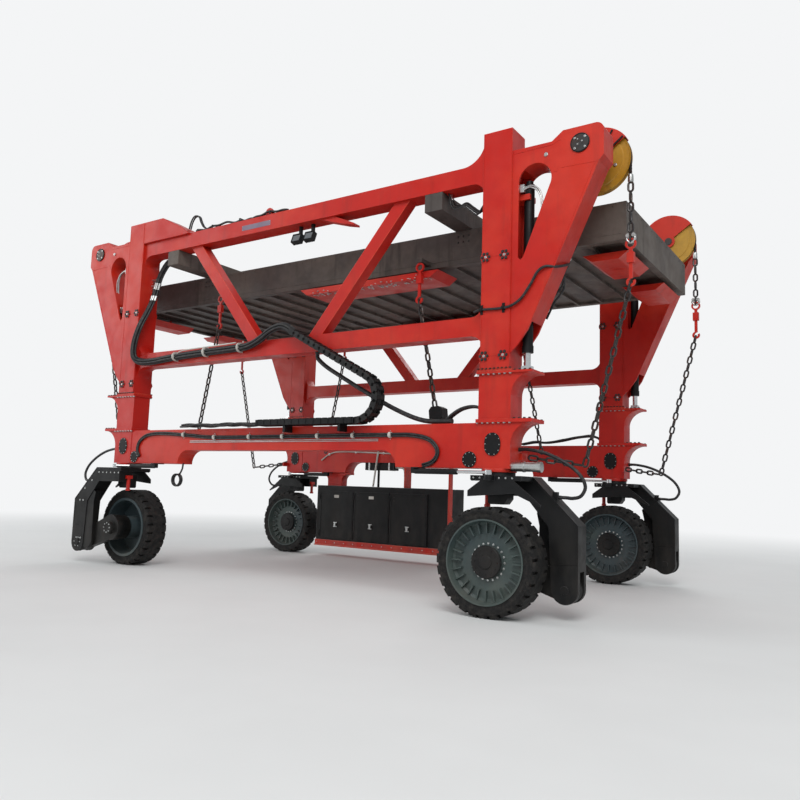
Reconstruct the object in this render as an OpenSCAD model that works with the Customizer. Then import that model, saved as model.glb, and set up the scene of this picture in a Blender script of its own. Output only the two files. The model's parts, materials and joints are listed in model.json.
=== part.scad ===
// Four-wheel straddle carrier with a telescoping upper frame.
// X runs along the machine, Y across it and Z up from the ground.
// Two lower side frames carry the wheels. The upper frame slides on their masts.

/* [Layout] */
// Distance between the leg centres along the machine
wheelbase = 10000; // [9400:50:11000]
// Distance between the leg centres across the machine
track = 6250; // [6000:50:6800]
// Height of the leg bases above the ground
base_z = 2440; // [2400:10:2700]
// Height of a leg base with its top flange
leg_base_h = 840; // [780:10:960]
// Height of a leg stub with its splice flange
stub_h = 820; // [700:10:1000]
// Height of the telescoping sleeve legs
sleeve_h = 4320; // [4200:20:4800]
// Travel of the upper frame on its masts
lift_stroke = 2000; // [1000:50:2200]

/* [Legs] */
// Length of a leg base and stub along the machine
stub_l = 610; // [560:10:700]
// Width of a leg base and stub across the machine
stub_w = 460; // [420:10:500]
// Length of a sleeve along the machine
sleeve_l = 560; // [540:10:600]
// Width of a sleeve across the machine
sleeve_w = 520; // [480:10:560]
// Wall of a sleeve
sleeve_wall = 30; // [16:2:40]
// Gap between a sleeve and its mast
mast_gap = 20; // [12:1:30]
// Running clearance at the slide pads
pad_clear = 5; // [5:1:8]
// Length of mast left in its sleeve at full lift
mast_overlap = 1500; // [1200:50:1900]
// Thickness of the splice flanges
flange_t = 40; // [30:5:60]
// Reach of a corbel outboard of the leg centre
corbel_reach = 700; // [660:10:780]
// Radius under a corbel
corbel_r = 380; // [300:10:400]

/* [Beams] */
// Width of the lower side beams
side_beam_w = 440; // [380:10:440]
// Depth of a lower side beam between its haunches
side_beam_d = 470; // [400:10:520]
// Distance from a leg centre to the inner end of its haunch
haunch_l = 2000; // [1700:50:2400]
// Width of the middle beams
mid_beam_w = 360; // [300:10:420]
// Depth of the middle beams
mid_beam_d = 340; // [280:10:400]
// Height of the middle beams above the splice
mid_beam_rise = 660; // [600:10:800]
// Width of the top beams
top_beam_w = 400; // [340:10:460]
// Depth of the top beams
top_beam_d = 350; // [300:10:420]
// Drop from the sleeve heads to the top beams
top_beam_drop = 520; // [500:10:600]
// Fillet radius where beams meet the legs
beam_fillet = 240; // [150:10:300]
// Distance from the middle to a brace foot
brace_foot_x = 850; // [600:50:1100]
// Distance from the middle to a brace head
brace_head_x = 2900; // [2600:50:3200]
// Length of a brace end along its beam
brace_end_l = 360; // [280:10:420]
// Width of a brace across the machine
brace_w = 260; // [200:10:340]
// Distance from the middle left to the lifting lugs
lug_left = 730; // [600:10:900]
// Width of a lifting lug
lug_l = 220; // [200:10:260]
// Diameter of a lifting lug's hole
lug_hole_d = 80; // [60:5:90]
// Distance from the middle to the cable tray's left end
tray_left = 2780; // [2500:20:2900]
// Distance from the middle to the cable tray's right end
tray_right = 2180; // [2000:10:2300]
// Width of the cable tray
tray_w = 320; // [280:10:340]
// Height of the cable tray
tray_h = 140; // [100:10:160]

/* [Ears] */
// Reach of an ear outboard of the leg centre
ear_reach = 1900; // [1850:10:2000]
// Thickness of an ear
ear_w = 480; // [440:10:500]
// Thickness of an ear's two cheeks beside its lift cylinder
ear_cheek = 40; // [25:5:60]
// Distance from a leg centre to its sheave shaft
shaft_x = 1500; // [1450:10:1560]
// Diameter of a sheave shaft
shaft_d = 160; // [120:10:200]
// Diameter of a shaft's end cover
shaft_cover_d = 330; // [300:10:360]
// Thickness of a shaft's end cover
shaft_cover_t = 20; // [12:2:30]
// Diameter of the boss between an ear and its sheave
shaft_boss_d = 280; // [260:10:320]
// Length of shaft past a sheave
shaft_end = 60; // [50:5:80]
// Gap between a sheave and its guard
guard_gap = 30; // [20:5:40]
// Thickness of a guard's plates
guard_t = 12; // [8:1:16]
// Tilt of a guard's lower edge in degrees
guard_tilt = 35; // [25:1:45]
// Number of slots in a guard's cheek
guard_slots = 4; // [3:1:5]
// Diameter of a sheave
sheave_d = 1160; // [1000:20:1200]
// Width of a sheave
sheave_w = 110; // [80:5:140]
// Distance from a leg centre inboard to its sheave
sheave_in = 690; // [640:10:720]

/* [Chains] */
// Thickness of a chain's bar
chain_bar = 34; // [28:2:38]
// Length of a chain link
link_l = 210; // [190:5:230]
// Width of a chain link
link_w = 120; // [110:5:130]
// Distance from a leg centre to the foot of its corner chain
chain_foot_x = 1260; // [1200:20:1300]
// Distance from the middle to a side chain
side_chain_x = 2850; // [2700:50:3000]
// Distance from the middle to a side chain's foot
side_foot_x = 3420; // [3300:20:3500]
// Drop from a sheave shaft to its shackle
shackle_drop = 1450; // [1350:50:1550]
// Length from a shackle down to the middle of its hook
hook_l = 760; // [700:20:800]
// Length of the long chain pans under the platform
pan_l = 3600; // [3300:100:3700]
// Width of the long chain pans
pan_w = 780; // [600:20:800]
// Width of the chain pans at the platform's ends
end_pan_w = 850; // [700:50:900]
// Height of a chain pan
pan_h = 130; // [100:10:150]
// Thickness of a chain pan's plates
pan_t = 12; // [8:1:16]
// Gap between a chain pan and the platform
pan_gap = 100; // [80:10:110]

/* [Energy chain] */
// Width of the energy chain across the machine
guide_w = 260; // [220:10:270]
// Thickness of the energy chain
guide_t = 130; // [110:5:140]
// Length of one link of the energy chain
guide_pitch = 155; // [140:5:200]
// Bend radius of the energy chain at its middle
guide_r = 443; // [400:5:480]
// Diameter of the hose bundles
bundle_d = 110; // [80:5:120]
// Diameter of the hoses on the lower beam
hose_d = 50; // [36:2:56]

/* [Covers and lamps] */
// Width of an access cover
cover_w = 300; // [260:10:340]
// Height of an access cover
cover_h = 400; // [360:10:420]
// Thickness of an access cover
cover_t = 14; // [10:1:20]
// Width of a floodlight
lamp_w = 240; // [200:10:280]
// Height of a floodlight
lamp_h = 190; // [160:10:220]
// Depth of a floodlight
lamp_d = 120; // [90:5:150]

/* [Lift cylinders] */
// Distance from a leg centre to its lift cylinder
lift_x = 500; // [480:5:520]
// Outer diameter of a lift barrel
lift_barrel_d = 180; // [150:5:200]
// Diameter of a lift rod
lift_rod_d = 110; // [80:5:120]
// Height of a lift rod's foot
lift_foot_h = 90; // [60:5:120]

/* [Platform] */
// Length of the platform
platform_l = 13800; // [13000:100:14000]
// Width of the platform
platform_w = 4300; // [4100:50:4400]
// Depth of the platform's side beams
platform_d = 700; // [600:20:760]
// Gap from the platform top up to the top beams
platform_drop = 350; // [300:10:400]
// Number of ribs under the platform
rib_count = 23; // [11:2:31]
// Depth of the ribs under the platform
rib_h = 60; // [40:5:100]
// Thickness of the ribs under the platform
rib_l = 60; // [40:5:80]
// Thickness of the cross bars on the deck
bar_l = 100; // [80:5:140]
// Drop from the platform's top to its cross bars
bar_drop = 20; // [10:5:60]
// Thickness of the deck plate
deck_t = 30; // [20:2:40]
// Thickness of the platform's rim
rim_t = 150; // [120:10:180]
// Distance from the middle to a cross girder
girder_x = 3650; // [3400:50:3900]
// Length of a cross girder along the machine
girder_l = 380; // [300:10:420]

/* [Knuckles] */
// Thickness of a knuckle's top plate
turntable_t = 80; // [60:5:100]
// Diameter of a slewing ring
ring_d = 600; // [500:10:640]
// Height of a slewing ring
ring_h = 120; // [100:5:140]
// Reach of a knuckle arm outboard of its kingpin
arm_reach = 1360; // [1300:10:1450]
// Distance from the kingpin to the near face of the arm
arm_in = 140; // [130:5:160]
// Distance from the kingpin to the far face of the arm
arm_out = 510; // [480:5:530]
// Length of the steering lever
lever_r = 400; // [380:5:420]
// Diameter of a hub spindle
spindle_d = 300; // [240:10:320]

/* [Wheels] */
// Outer diameter of a tyre
tyre_d = 1800; // [1700:10:1860]
// Width of a tyre
tyre_w = 560; // [500:10:600]
// Outer diameter of a rim
rim_d = 1400; // [1300:10:1450]
// Number of ribs inside a rim
rim_rib_count = 24; // [16:2:30]
// Length that a tyre reaches in past its kingpin
tyre_past = 30; // [10:5:60]
// Depth of the notches between the shoulder lugs
lug_depth = 45; // [20:5:60]
// Number of lugs on each shoulder
lug_count = 28; // [20:2:36]

/* [Steering cylinders] */
// Outer diameter of a steering barrel
steer_barrel_d = 100; // [90:5:105]
// Diameter of a steering rod
steer_rod_d = 56; // [45:1:60]
// Length of a steering barrel
steer_barrel_l = 850; // [800:10:950]

/* [Power pack] */
// Distance from the middle to the pack's left end
pack_left = 3800; // [3700:10:3850]
// Length of the power pack
pack_l = 4500; // [4200:50:4700]
// Depth of the power pack across the machine
pack_w = 900; // [800:10:950]
// Height of the pack's housing
pack_h = 1580; // [1400:20:1620]
// Height of the pack's sill above the ground
sill_z = 300; // [280:10:360]
// Height of the sill
sill_h = 170; // [120:10:200]
// Thickness of a pack door
door_t = 40; // [30:2:50]
// Length of a pack door
door_l = 1220; // [1150:10:1240]
// Gap between two pack doors
door_gap = 30; // [28:2:50]
// Distance from the pack's left end to its first door
door_in = 150; // [100:10:200]
// Distance from the middle to the engine's left end
engine_left = 2400; // [2200:50:2500]
// Length of the engine
engine_l = 1800; // [1500:50:1900]
// Height of the engine
engine_h = 1120; // [900:20:1140]
// Distance from the middle to the left column that carries the pack
hanger_left = 3430; // [3400:10:3450]
// Length of the left column along the machine
hanger_l = 520; // [400:20:560]
// Distance from the middle to the middle hanger of the pack
hanger_mid = 950; // [800:50:1200]
// Thickness of the middle hanger and the end post
hanger_t = 60; // [40:5:80]

/* [Hidden] */
$fn = 64;
seat = 0.3;
leg_x = wheelbase / 2;
leg_y = track / 2;
base_top_z = base_z + leg_base_h;
splice_z = base_top_z + stub_h;
mast_h = lift_stroke + mast_overlap;
head_z = splice_z + sleeve_h;
base_flange_t = 60;
beam_top_z = base_top_z - base_flange_t;
arch_h = leg_base_h - base_flange_t - side_beam_d;
mid_beam_z = splice_z + mid_beam_rise;
mid_top_z = mid_beam_z + mid_beam_d;
top_beam_top = head_z - top_beam_drop;
top_beam_z = top_beam_top - top_beam_d;
platform_top = top_beam_z - platform_drop;
platform_z = platform_top - platform_d;
ring_z = base_z - ring_h;
turntable_z = ring_z - turntable_t;
hub_z = tyre_d / 2;
wheel_y = tyre_past - tyre_w / 2;
shaft_z = top_beam_top - 50;
sheave_r = sheave_d / 2;
eps = 1;

// Mirrors along X or Y only where asked.
module flip(x = false, y = false) {
    if (x && y) mirror([1, 0, 0]) mirror([0, 1, 0]) children();
    if (x && !y) mirror([1, 0, 0]) children();
    if (!x && y) mirror([0, 1, 0]) children();
    if (!x && !y) children();
}

// Puts a shape drawn about a leg axis, X and Y outboard, at one corner.
module at_leg(sx, sy) {
    translate([sx * leg_x, sy * leg_y, 0]) flip(sx < 0, sy < 0) children();
}

// A block given by its lower and upper corners.
module block(low, high) {
    translate(low) cube([high[0] - low[0], high[1] - low[1], high[2] - low[2]]);
}

// An outline drawn in X and Z, extruded across the machine between y0 and y1.
module side_profile(y0, y1) {
    translate([0, y1, 0]) rotate([90, 0, 0]) linear_extrude(y1 - y0) children();
}

// A cylinder along Y from y0 to y1.
module y_cylinder(x, z, d, y0, y1) {
    translate([x, y1, z]) rotate([90, 0, 0]) cylinder(d = d, h = y1 - y0);
}

// A cylinder along X from x0 to x1.
module x_cylinder(y, z, d, x0, x1) {
    translate([x0, y, z]) rotate([0, 90, 0]) cylinder(d = d, h = x1 - x0);
}

// The concave corner between a vertical face on the left and a floor below.
module concave_corner(r) {
    difference() {
        square(r);
        translate([r, r]) circle(r);
    }
}

// An access cover's outline: round, or upright with round ends if it is higher than wide.
module cover_outline(w, h) {
    if (h > w) {
        translate([-w / 2, -(h - w) / 2]) square([w, h - w]);
        for (s = [-1, 1]) translate([0, s * (h - w) / 2]) circle(d = w);
    } else {
        circle(d = w);
    }
}

// A pair of access covers on the two faces of a box of the given half width.
module cover_pair(x, z, w, h, half) {
    for (y = [-half - cover_t, half]) side_profile(y, y + cover_t) translate([x, z]) cover_outline(w, h);
}

module side_beam() {
    half = leg_x - stub_l / 2;
    haunch_x = leg_x - haunch_l;
    side_profile(-side_beam_w / 2, side_beam_w / 2) difference() {
        translate([-half, base_z]) square([2 * half, beam_top_z - base_z]);
        translate([-haunch_x, base_z - eps]) square([2 * haunch_x, eps]);
        translate([-haunch_x + arch_h, base_z]) square([2 * (haunch_x - arch_h), arch_h]);
        for (s = [-1, 1]) translate([s * (haunch_x - arch_h), base_z]) intersection() {
            circle(arch_h);
            translate([-arch_h, 0]) square([2 * arch_h, arch_h]);
        }
    }
    color("#1f1f22") for (s = [-1, 1])
        cover_pair(s * (leg_x - 460), base_z + 150, cover_w - 20, cover_w - 20, side_beam_w / 2);
}

// Base box, stub, flanges and corbels of one leg.
module leg_base() {
    half_l = stub_l / 2;
    half_w = stub_w / 2;
    block([-half_l, -half_w, base_z], [half_l, half_w, beam_top_z]);
    block([-half_l - 30, -half_w - 40, beam_top_z], [corbel_reach, half_w + 40, base_top_z]);
    block([-half_l, -half_w, base_top_z], [half_l, half_w, splice_z - flange_t]);
    block([-half_l - 30, -half_w - 40, splice_z - flange_t], [corbel_reach, half_w + 40, splice_z]);
    for (z = [beam_top_z, splice_z - flange_t]) side_profile(-half_w, half_w)
        translate([half_l, z]) mirror([0, 1]) concave_corner(corbel_r);
    translate([0, 0, ring_z + ring_h / 2]) cylinder(d = ring_d, h = ring_h / 2);
    block([half_l, -half_w - 160, base_z + 160], [half_l + 40, -half_w + 60, base_z + 280]);
    color("#1f1f22") cover_pair(-20, base_z + 410, cover_w, cover_h, half_w);
}

module mast() {
    mast_l = sleeve_l - 2 * sleeve_wall - 2 * mast_gap;
    mast_w = sleeve_w - 2 * sleeve_wall - 2 * mast_gap;
    difference() {
        block([-mast_l / 2, -mast_w / 2, splice_z], [mast_l / 2, mast_w / 2, splice_z + mast_h]);
        block([-mast_l / 2 + 25, -mast_w / 2 + 25, splice_z + 25],
            [mast_l / 2 - 25, mast_w / 2 - 25, splice_z + mast_h + eps]);
    }
}

barrel_z = splice_z + 320;
barrel_top = top_beam_top - 500;
rod_top = barrel_top - 250;

module lift_rod() {
    translate([lift_x, 0, splice_z]) {
        translate([-80, -80, 0]) cube([160, 160, lift_foot_h]);
        cylinder(d = lift_rod_d, h = rod_top - splice_z);
    }
}

module lift_barrel() {
    translate([lift_x, 0, 0]) difference() {
        union() {
            translate([0, 0, barrel_z]) cylinder(d = lift_barrel_d, h = barrel_top - barrel_z);
            translate([0, 0, barrel_z]) cylinder(d = lift_barrel_d + 20, h = 120);
            translate([0, 0, barrel_top]) cylinder(d = lift_barrel_d - 50, h = 60);
        }
        translate([0, 0, barrel_z - eps]) cylinder(d = lift_rod_d + 2 * seat, h = 60 + eps);
        translate([0, 0, barrel_z + 59]) cylinder(d = lift_rod_d + 24, h = rod_top + 60 - barrel_z - 59);
    }
}

// One sleeve leg with its bottom flange, slide pad collars and cap.
module sleeve_leg() {
    half_l = sleeve_l / 2;
    half_w = sleeve_w / 2;
    in_l = half_l - sleeve_wall;
    in_w = half_w - sleeve_wall;
    pad_l = in_l - mast_gap + pad_clear;
    pad_w = in_w - mast_gap + pad_clear;
    foot_z = splice_z + seat;
    pad_h = 200;
    pad_levels = [foot_z, splice_z + 1900];
    difference() {
        union() {
            block([-half_l, -half_w, foot_z], [half_l, half_w, head_z]);
            block([-half_l - 50, -half_w - 10, foot_z], [half_l + 50, half_w + 10, foot_z + flange_t]);
        }
        difference() {
            block([-in_l, -in_w, foot_z - eps], [in_l, in_w, head_z - sleeve_wall]);
            for (z = pad_levels) difference() {
                block([-in_l - eps, -in_w - eps, z - eps], [in_l + eps, in_w + eps, z + pad_h]);
                block([-pad_l, -pad_w, z - 2 * eps], [pad_l, pad_w, z + pad_h + eps]);
            }
        }
    }
}

// Outline of an ear in X outboard and Z, with its long slot cut out.
module ear_outline() {
    root = sleeve_l / 2;
    top = top_beam_top + 90;
    tip_r = 140;
    tip_z = top_beam_top + 100;
    difference() {
        union() {
            translate([ear_reach - tip_r, tip_z]) circle(tip_r);
            polygon([
                [root, splice_z + 300], [root + 130, splice_z + 420], [root + 320, splice_z + 680],
                [ear_reach - 80, top_beam_top - 420], [ear_reach, top_beam_top - 330],
                [ear_reach, tip_z], [ear_reach - tip_r, tip_z + tip_r],
                [root + 920, tip_z + tip_r], [root + 720, top], [root, top]
            ]);
        }
        translate([root + 420, top_beam_top - 530]) circle(300);
        polygon([
            [root + 120, top_beam_top - 530], [root + 120, splice_z + 1950],
            [root + 170, splice_z + 1900], [root + 220, splice_z + 1950],
            [root + 690, top_beam_top - 660], [root + 715, top_beam_top - 530]
        ]);
    }
}

module ear() {
    passage = ear_w / 2 - ear_cheek;
    difference() {
        side_profile(-ear_w / 2, ear_w / 2) ear_outline();
        block([sleeve_l / 2 - eps, -passage, splice_z], [lift_x + 160, passage, top_beam_top - 300]);
        y_cylinder(shaft_x, shaft_z, shaft_d + 2 * seat, -ear_w, ear_w);
    }
    clamp_z = top_beam_top - 800;
    difference() {
        block([sleeve_l / 2, -130, clamp_z], [lift_x + 60, 130, clamp_z + 100]);
        translate([lift_x, 0, clamp_z - eps]) cylinder(d = lift_barrel_d + 2 * seat, h = 100 + 2 * eps);
    }
}

// A beam between two sleeve legs with fillets at its four corners.
module leg_beam(w, z, d, top_r, low_r) {
    half = leg_x - sleeve_l / 2;
    side_profile(-w / 2, w / 2) {
        translate([-half, z]) square([2 * half, d]);
        for (s = [-1, 1]) scale([s, 1]) translate([-half, 0]) {
            translate([0, z + d]) concave_corner(top_r);
            translate([0, z]) mirror([0, 1]) concave_corner(low_r);
        }
    }
}

module on_sides() {
    for (sy = [-1, 1]) translate([0, sy * leg_y, 0]) children();
}

module mid_beams() {
    color("#c9291d") on_sides() leg_beam(mid_beam_w, mid_beam_z, mid_beam_d, beam_fillet, beam_fillet);
}

module top_beams() {
    color("#c9291d") on_sides()
        leg_beam(top_beam_w, top_beam_z, top_beam_d, top_beam_drop - 60, beam_fillet);
    color("#c9291d") side_profile(-leg_y - 150, -leg_y + 60) polygon([
        [850, top_beam_z + eps], [1250, top_beam_z + eps], [1750, top_beam_z - 220],
        [1750, top_beam_z - 260], [1500, top_beam_z - 200]
    ]);
}

module braces() {
    color("#c9291d") on_sides() for (s = [-1, 1]) side_profile(-brace_w / 2, brace_w / 2)
        scale([s, 1]) polygon([
            [brace_foot_x - brace_end_l / 2, mid_top_z], [brace_foot_x + brace_end_l / 2, mid_top_z],
            [brace_head_x + brace_end_l / 2, top_beam_z], [brace_head_x - brace_end_l / 2, top_beam_z]
        ]);
}

module cross_girders() {
    reach = leg_y + top_beam_w / 2;
    color("#4a4644") for (s = [-1, 1])
        block([s * girder_x - girder_l / 2, -reach, platform_top], [s * girder_x + girder_l / 2, reach, top_beam_z]);
}

module platform_sides() {
    half_l = platform_l / 2;
    half_w = platform_w / 2;
    color("#4a4644") for (s = [-1, 1]) flip(false, s < 0) {
        block([-half_l, half_w - rim_t, platform_z], [half_l, half_w, platform_top]);
        for (x = [-side_chain_x, side_chain_x])
            block([x - 60, half_w, platform_z + 60], [x + 60, side_chain_y + 40, platform_z + 140]);
        for (x = [-anchor_x, anchor_x])
            block([x - 60, half_w, platform_top - 300], [x + 60, leg_y - sheave_in + 45, platform_top - 200]);
    }
}

module platform_ends() {
    half_l = platform_l / 2;
    half_w = platform_w / 2 - rim_t;
    color("#4a4644") for (s = [-1, 1]) flip(s < 0)
        block([half_l - rim_t, -half_w, platform_z], [half_l, half_w, platform_top]);
}

deck_half_l = platform_l / 2 - rim_t;
deck_half_w = platform_w / 2 - rim_t;
rib_step = 2 * deck_half_l / (rib_count + 1);

module platform_deck() {
    color("#4a4644") {
        block([-deck_half_l, -deck_half_w, platform_z + rib_h],
            [deck_half_l, deck_half_w, platform_z + rib_h + deck_t]);
        for (i = [1 : rib_count]) translate([-deck_half_l + i * rib_step, 0, 0])
            block([-rib_l / 2, -deck_half_w, platform_z], [rib_l / 2, deck_half_w, platform_z + rib_h]);
    }
}

// Cross bars on top of the deck.
module platform_bars() {
    color("#4a4644") for (i = [2 : 3 : rib_count]) translate([-deck_half_l + i * rib_step, 0, 0])
        block([-bar_l / 2, -deck_half_w, platform_z + rib_h + deck_t],
            [bar_l / 2, deck_half_w, platform_top - bar_drop]);
}

module sheave_shaft() {
    outer = ear_w / 2 + shaft_cover_t;
    y_cylinder(shaft_x, shaft_z, shaft_d, -sheave_in - sheave_w / 2 - shaft_end, outer);
    y_cylinder(shaft_x, shaft_z, shaft_cover_d, ear_w / 2, outer);
    y_cylinder(shaft_x, shaft_z, shaft_boss_d, -sheave_in + sheave_w / 2, -ear_w / 2);
}

groove_depth = 85;

module sheave() {
    translate([shaft_x, -sheave_in, shaft_z]) rotate([90, 0, 0]) rotate_extrude($fn = 96) polygon([
        [shaft_d / 2 + seat, -sheave_w / 2], [sheave_r - 140, -sheave_w / 2],
        [sheave_r - 120, -sheave_w / 2 + 15], [sheave_r - 40, -sheave_w / 2 + 15],
        [sheave_r, -sheave_w / 2], [sheave_r, -sheave_w / 2 + 12],
        [sheave_r - groove_depth, 0], [sheave_r, sheave_w / 2 - 12], [sheave_r, sheave_w / 2],
        [sheave_r - 40, sheave_w / 2 - 15], [sheave_r - 120, sheave_w / 2 - 15],
        [sheave_r - 140, sheave_w / 2], [shaft_d / 2 + seat, sheave_w / 2]
    ]);
}

// One chain link along Z from the origin: a flat ring with pointed ends.
module link() {
    in_l = link_l - 2 * chain_bar;
    in_w = link_w - 2 * chain_bar;
    translate([0, chain_bar / 2, 0]) rotate([90, 0, 0]) linear_extrude(chain_bar) difference() {
        polygon([
            [-link_w / 2, link_w / 3], [0, 0], [link_w / 2, link_w / 3],
            [link_w / 2, link_l - link_w / 3], [0, link_l], [-link_w / 2, link_l - link_w / 3]
        ]);
        translate([-in_w / 2, chain_bar]) square([in_w, in_l]);
    }
}

// Turns a shape drawn up along Z from the origin so that it runs from foot to top.
module aim(foot, top) {
    d = top - foot;
    translate(foot) rotate([0, acos(d[2] / norm(d)), atan2(d[1], d[0])]) children();
}

// A straight chain between two points, with its links fused end in end. Every other link is turned.
module chain_run(foot, top, first_turn = 0) {
    len = norm(top - foot);
    count = 2 * round((len - chain_bar) / (link_l - chain_bar) / 2);
    step = (len - link_l) / (count - 1);
    aim(foot, top) for (i = [0 : count - 1])
        translate([0, 0, i * step]) rotate([0, 0, first_turn + i % 2 * 90]) link();
}

// How much wider the ball at a hose's bend is than the hose.
bend_extra = 3;

// A round bar or hose through a list of points, with a ball at each bend.
module tube_path(points, d) {
    for (i = [1 : len(points) - 1]) aim(points[i - 1], points[i])
        cylinder(d = d, h = norm(points[i] - points[i - 1]), $fn = 24);
    for (i = [1 : len(points) - 2]) translate(points[i]) sphere(d = d + bend_extra, $fn = 24);
}

rope_d = 56;
rope_r = sheave_r - 22;
hang_x = shaft_x + rope_r;
anchor_x = leg_x + shaft_x - rope_r;
shackle_z = shaft_z - shackle_drop;
shackle_r = 95;
hook_r = 80;
hook_bar = 42;
side_chain_y = platform_w / 2 + 310;
side_shackle_z = platform_z + 60 - seat;
hook_half_t = 18;
// Where the end of a link lies past the middle of an eye of radius r when its bar rests in it.
function link_end(r) = chain_bar - sqrt(pow(r - 3 * seat, 2) - pow(chain_bar / 2, 2));
chain_in = -link_end(hook_r - hook_bar);

// The rope over one sheave, its socket and the two chains of one corner, from the leg centre.
module corner_chain() {
    socket_z = shaft_z - 320;
    y = -sheave_in;
    translate([shaft_x, y, shaft_z]) rotate([90, 0, 0]) rotate_extrude(angle = 180)
        translate([rope_r, 0]) circle(d = rope_d, $fn = 8);
    translate([shaft_x - rope_r, y, platform_top - 200]) cylinder(d = rope_d, h = shaft_z - platform_top + 200);
    translate([hang_x, y, socket_z]) cylinder(d = rope_d, h = shaft_z - socket_z);
    translate([hang_x, y, socket_z - 140]) cylinder(d = 100, h = 150);
    chain_run([hang_x, y, shackle_z - shackle_r - link_end(shackle_r - chain_bar)],
        [hang_x, y, socket_z - 120], 90);
    foot = [chain_foot_x, y, base_z + 60];
    chain_run(foot, [hang_x, y, shackle_z - hook_l - chain_in]);
    chain_run([stub_l / 2 + 60, -stub_w / 2 - 125, base_z + 220], foot + [-20, 10, 40]);
}

// A chain that hangs beside the platform, given for the right end of one side.
module side_chain() {
    chain_run([side_foot_x, side_chain_y, beam_top_z - 250],
        [side_chain_x, side_chain_y, side_shackle_z - hook_l - chain_in]);
}

module lifting_chains() {
    color("#3a3a3c") {
        for (sx = [-1, 1], sy = [-1, 1]) at_leg(sx, sy) corner_chain();
        for (sx = [-1, 1], sy = [-1, 1]) flip(sx < 0, sy < 0) side_chain();
    }
}

// A shackle, its block and an open hook, hanging from the origin.
module hook() {
    neck_l = hook_l - 2 * shackle_r - hook_r + 30;
    side_profile(-hook_half_t, hook_half_t) {
        difference() {
            translate([0, -shackle_r]) circle(shackle_r);
            translate([0, -shackle_r]) circle(shackle_r - chain_bar);
        }
        translate([-30, -2 * shackle_r - neck_l + 15]) square([60, neck_l]);
    }
    block([-60, -45, -2 * shackle_r - 240], [60, 45, -2 * shackle_r - 60]);
    side_profile(-hook_half_t, hook_half_t) translate([0, -hook_l]) difference() {
        circle(hook_r);
        circle(hook_r - hook_bar);
        rotate(25) square([hook_r + eps, 50]);
    }
}

module lifting_hooks() {
    color("#b3241c") {
        for (sx = [-1, 1], sy = [-1, 1]) at_leg(sx, sy) translate([hang_x, -sheave_in, shackle_z]) hook();
        for (sx = [-1, 1], sy = [-1, 1]) flip(sx < 0, sy < 0)
            translate([side_chain_x, side_chain_y, side_shackle_z]) hook();
    }
}

// An open pan with sloping ends, centred in X on its low corner's middle and reaching along Y.
module chain_pan(l, w) {
    slope = 1.4 * pan_h;
    top = platform_z - pan_gap;
    translate([0, 0, top - pan_h]) {
        side_profile(0, w) polygon([
            [-l / 2 + slope, 0], [l / 2 - slope, 0], [l / 2, pan_h], [l / 2 - pan_t, pan_h],
            [l / 2 - slope - pan_t / 2, pan_t], [-l / 2 + slope + pan_t / 2, pan_t],
            [-l / 2 + pan_t, pan_h], [-l / 2, pan_h]
        ]);
        for (y = [0, w - pan_t]) side_profile(y, y + pan_t) polygon([
            [-l / 2 + slope, 0], [l / 2 - slope, 0], [l / 2, pan_h], [-l / 2, pan_h]
        ]);
    }
    for (x = [-l / 2 + slope + 40, l / 2 - slope - 80])
        block([x, w / 2 - 30, top - pan_h + pan_t / 2], [x + 40, w / 2 + 30, platform_z]);
}

module chain_pans() {
    pan_out = side_chain_y - 80;
    color("#c9291d") for (sy = [-1, 1]) flip(false, sy < 0) {
        translate([1420, pan_out - pan_w, 0]) chain_pan(pan_l, pan_w);
        for (sx = [-1, 1]) translate([sx * (platform_l / 2 - 480), 550, 0]) chain_pan(end_pan_w, 1300);
    }
}

// The guard over one sheave: two cheeks and a rim over its upper half.
module sheave_guard() {
    guard_r = sheave_r + guard_gap;
    outer = -sheave_in + sheave_w / 2 + 40;
    inner = -sheave_in - sheave_w / 2 - 40;
    module upper_half(r) {
        intersection() {
            circle(r);
            rotate(guard_tilt) translate([-r, 0]) square([2 * r, r]);
        }
    }
    translate([shaft_x, 0, shaft_z]) {
        side_profile(outer - guard_t, outer) difference() {
            union() {
                upper_half(guard_r);
                circle(shaft_boss_d / 2 + 60);
            }
            circle(shaft_boss_d / 2 + seat);
            rotate(guard_tilt + 25) for (i = [0 : guard_slots - 1])
                translate([130 + i * 95 - 55 * guard_slots, 250]) square([34, 200]);
        }
        side_profile(inner, inner + guard_t) difference() {
            union() {
                upper_half(guard_r);
                circle(shaft_d / 2 + 60);
            }
            circle(shaft_d / 2 + seat);
        }
        side_profile(inner, outer) difference() {
            upper_half(guard_r);
            circle(guard_r - guard_t);
            translate([-guard_r - eps, -guard_r]) square([guard_r, guard_r - 60]);
        }
    }
}

lug_t = 40;
lug_rise = 130;

module lifting_lugs() {
    color("#c9291d") on_sides() difference() {
        side_profile(-lug_t / 2, lug_t / 2) translate([-lug_left, top_beam_top]) {
            translate([-lug_l / 2, 0]) square([lug_l, lug_rise]);
            translate([0, lug_rise]) circle(lug_l / 2);
        }
        y_cylinder(-lug_left, top_beam_top + lug_rise, lug_hole_d, -lug_t, lug_t);
    }
}

tray_out = -leg_y - side_beam_w / 2 - 255;
tray_wall = 10;
tray_floor = 20;

// An open channel on the lower beam's outer edge, with brackets below its overhang.
module cable_tray() {
    color("#1f1f22") {
        difference() {
            block([-tray_left, tray_out, beam_top_z], [tray_right, tray_out + tray_w, beam_top_z + tray_h]);
            block([-tray_left - eps, tray_out + tray_wall, beam_top_z + tray_floor],
                [tray_right + eps, tray_out + tray_w - tray_wall, beam_top_z + tray_h + eps]);
        }
        for (i = [0 : 3]) block([-tray_left + 300 + i * 1400, tray_out + 20, beam_top_z - 120],
            [-tray_left + 330 + i * 1400, -leg_y - side_beam_w / 2, beam_top_z]);
    }
}

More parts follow.
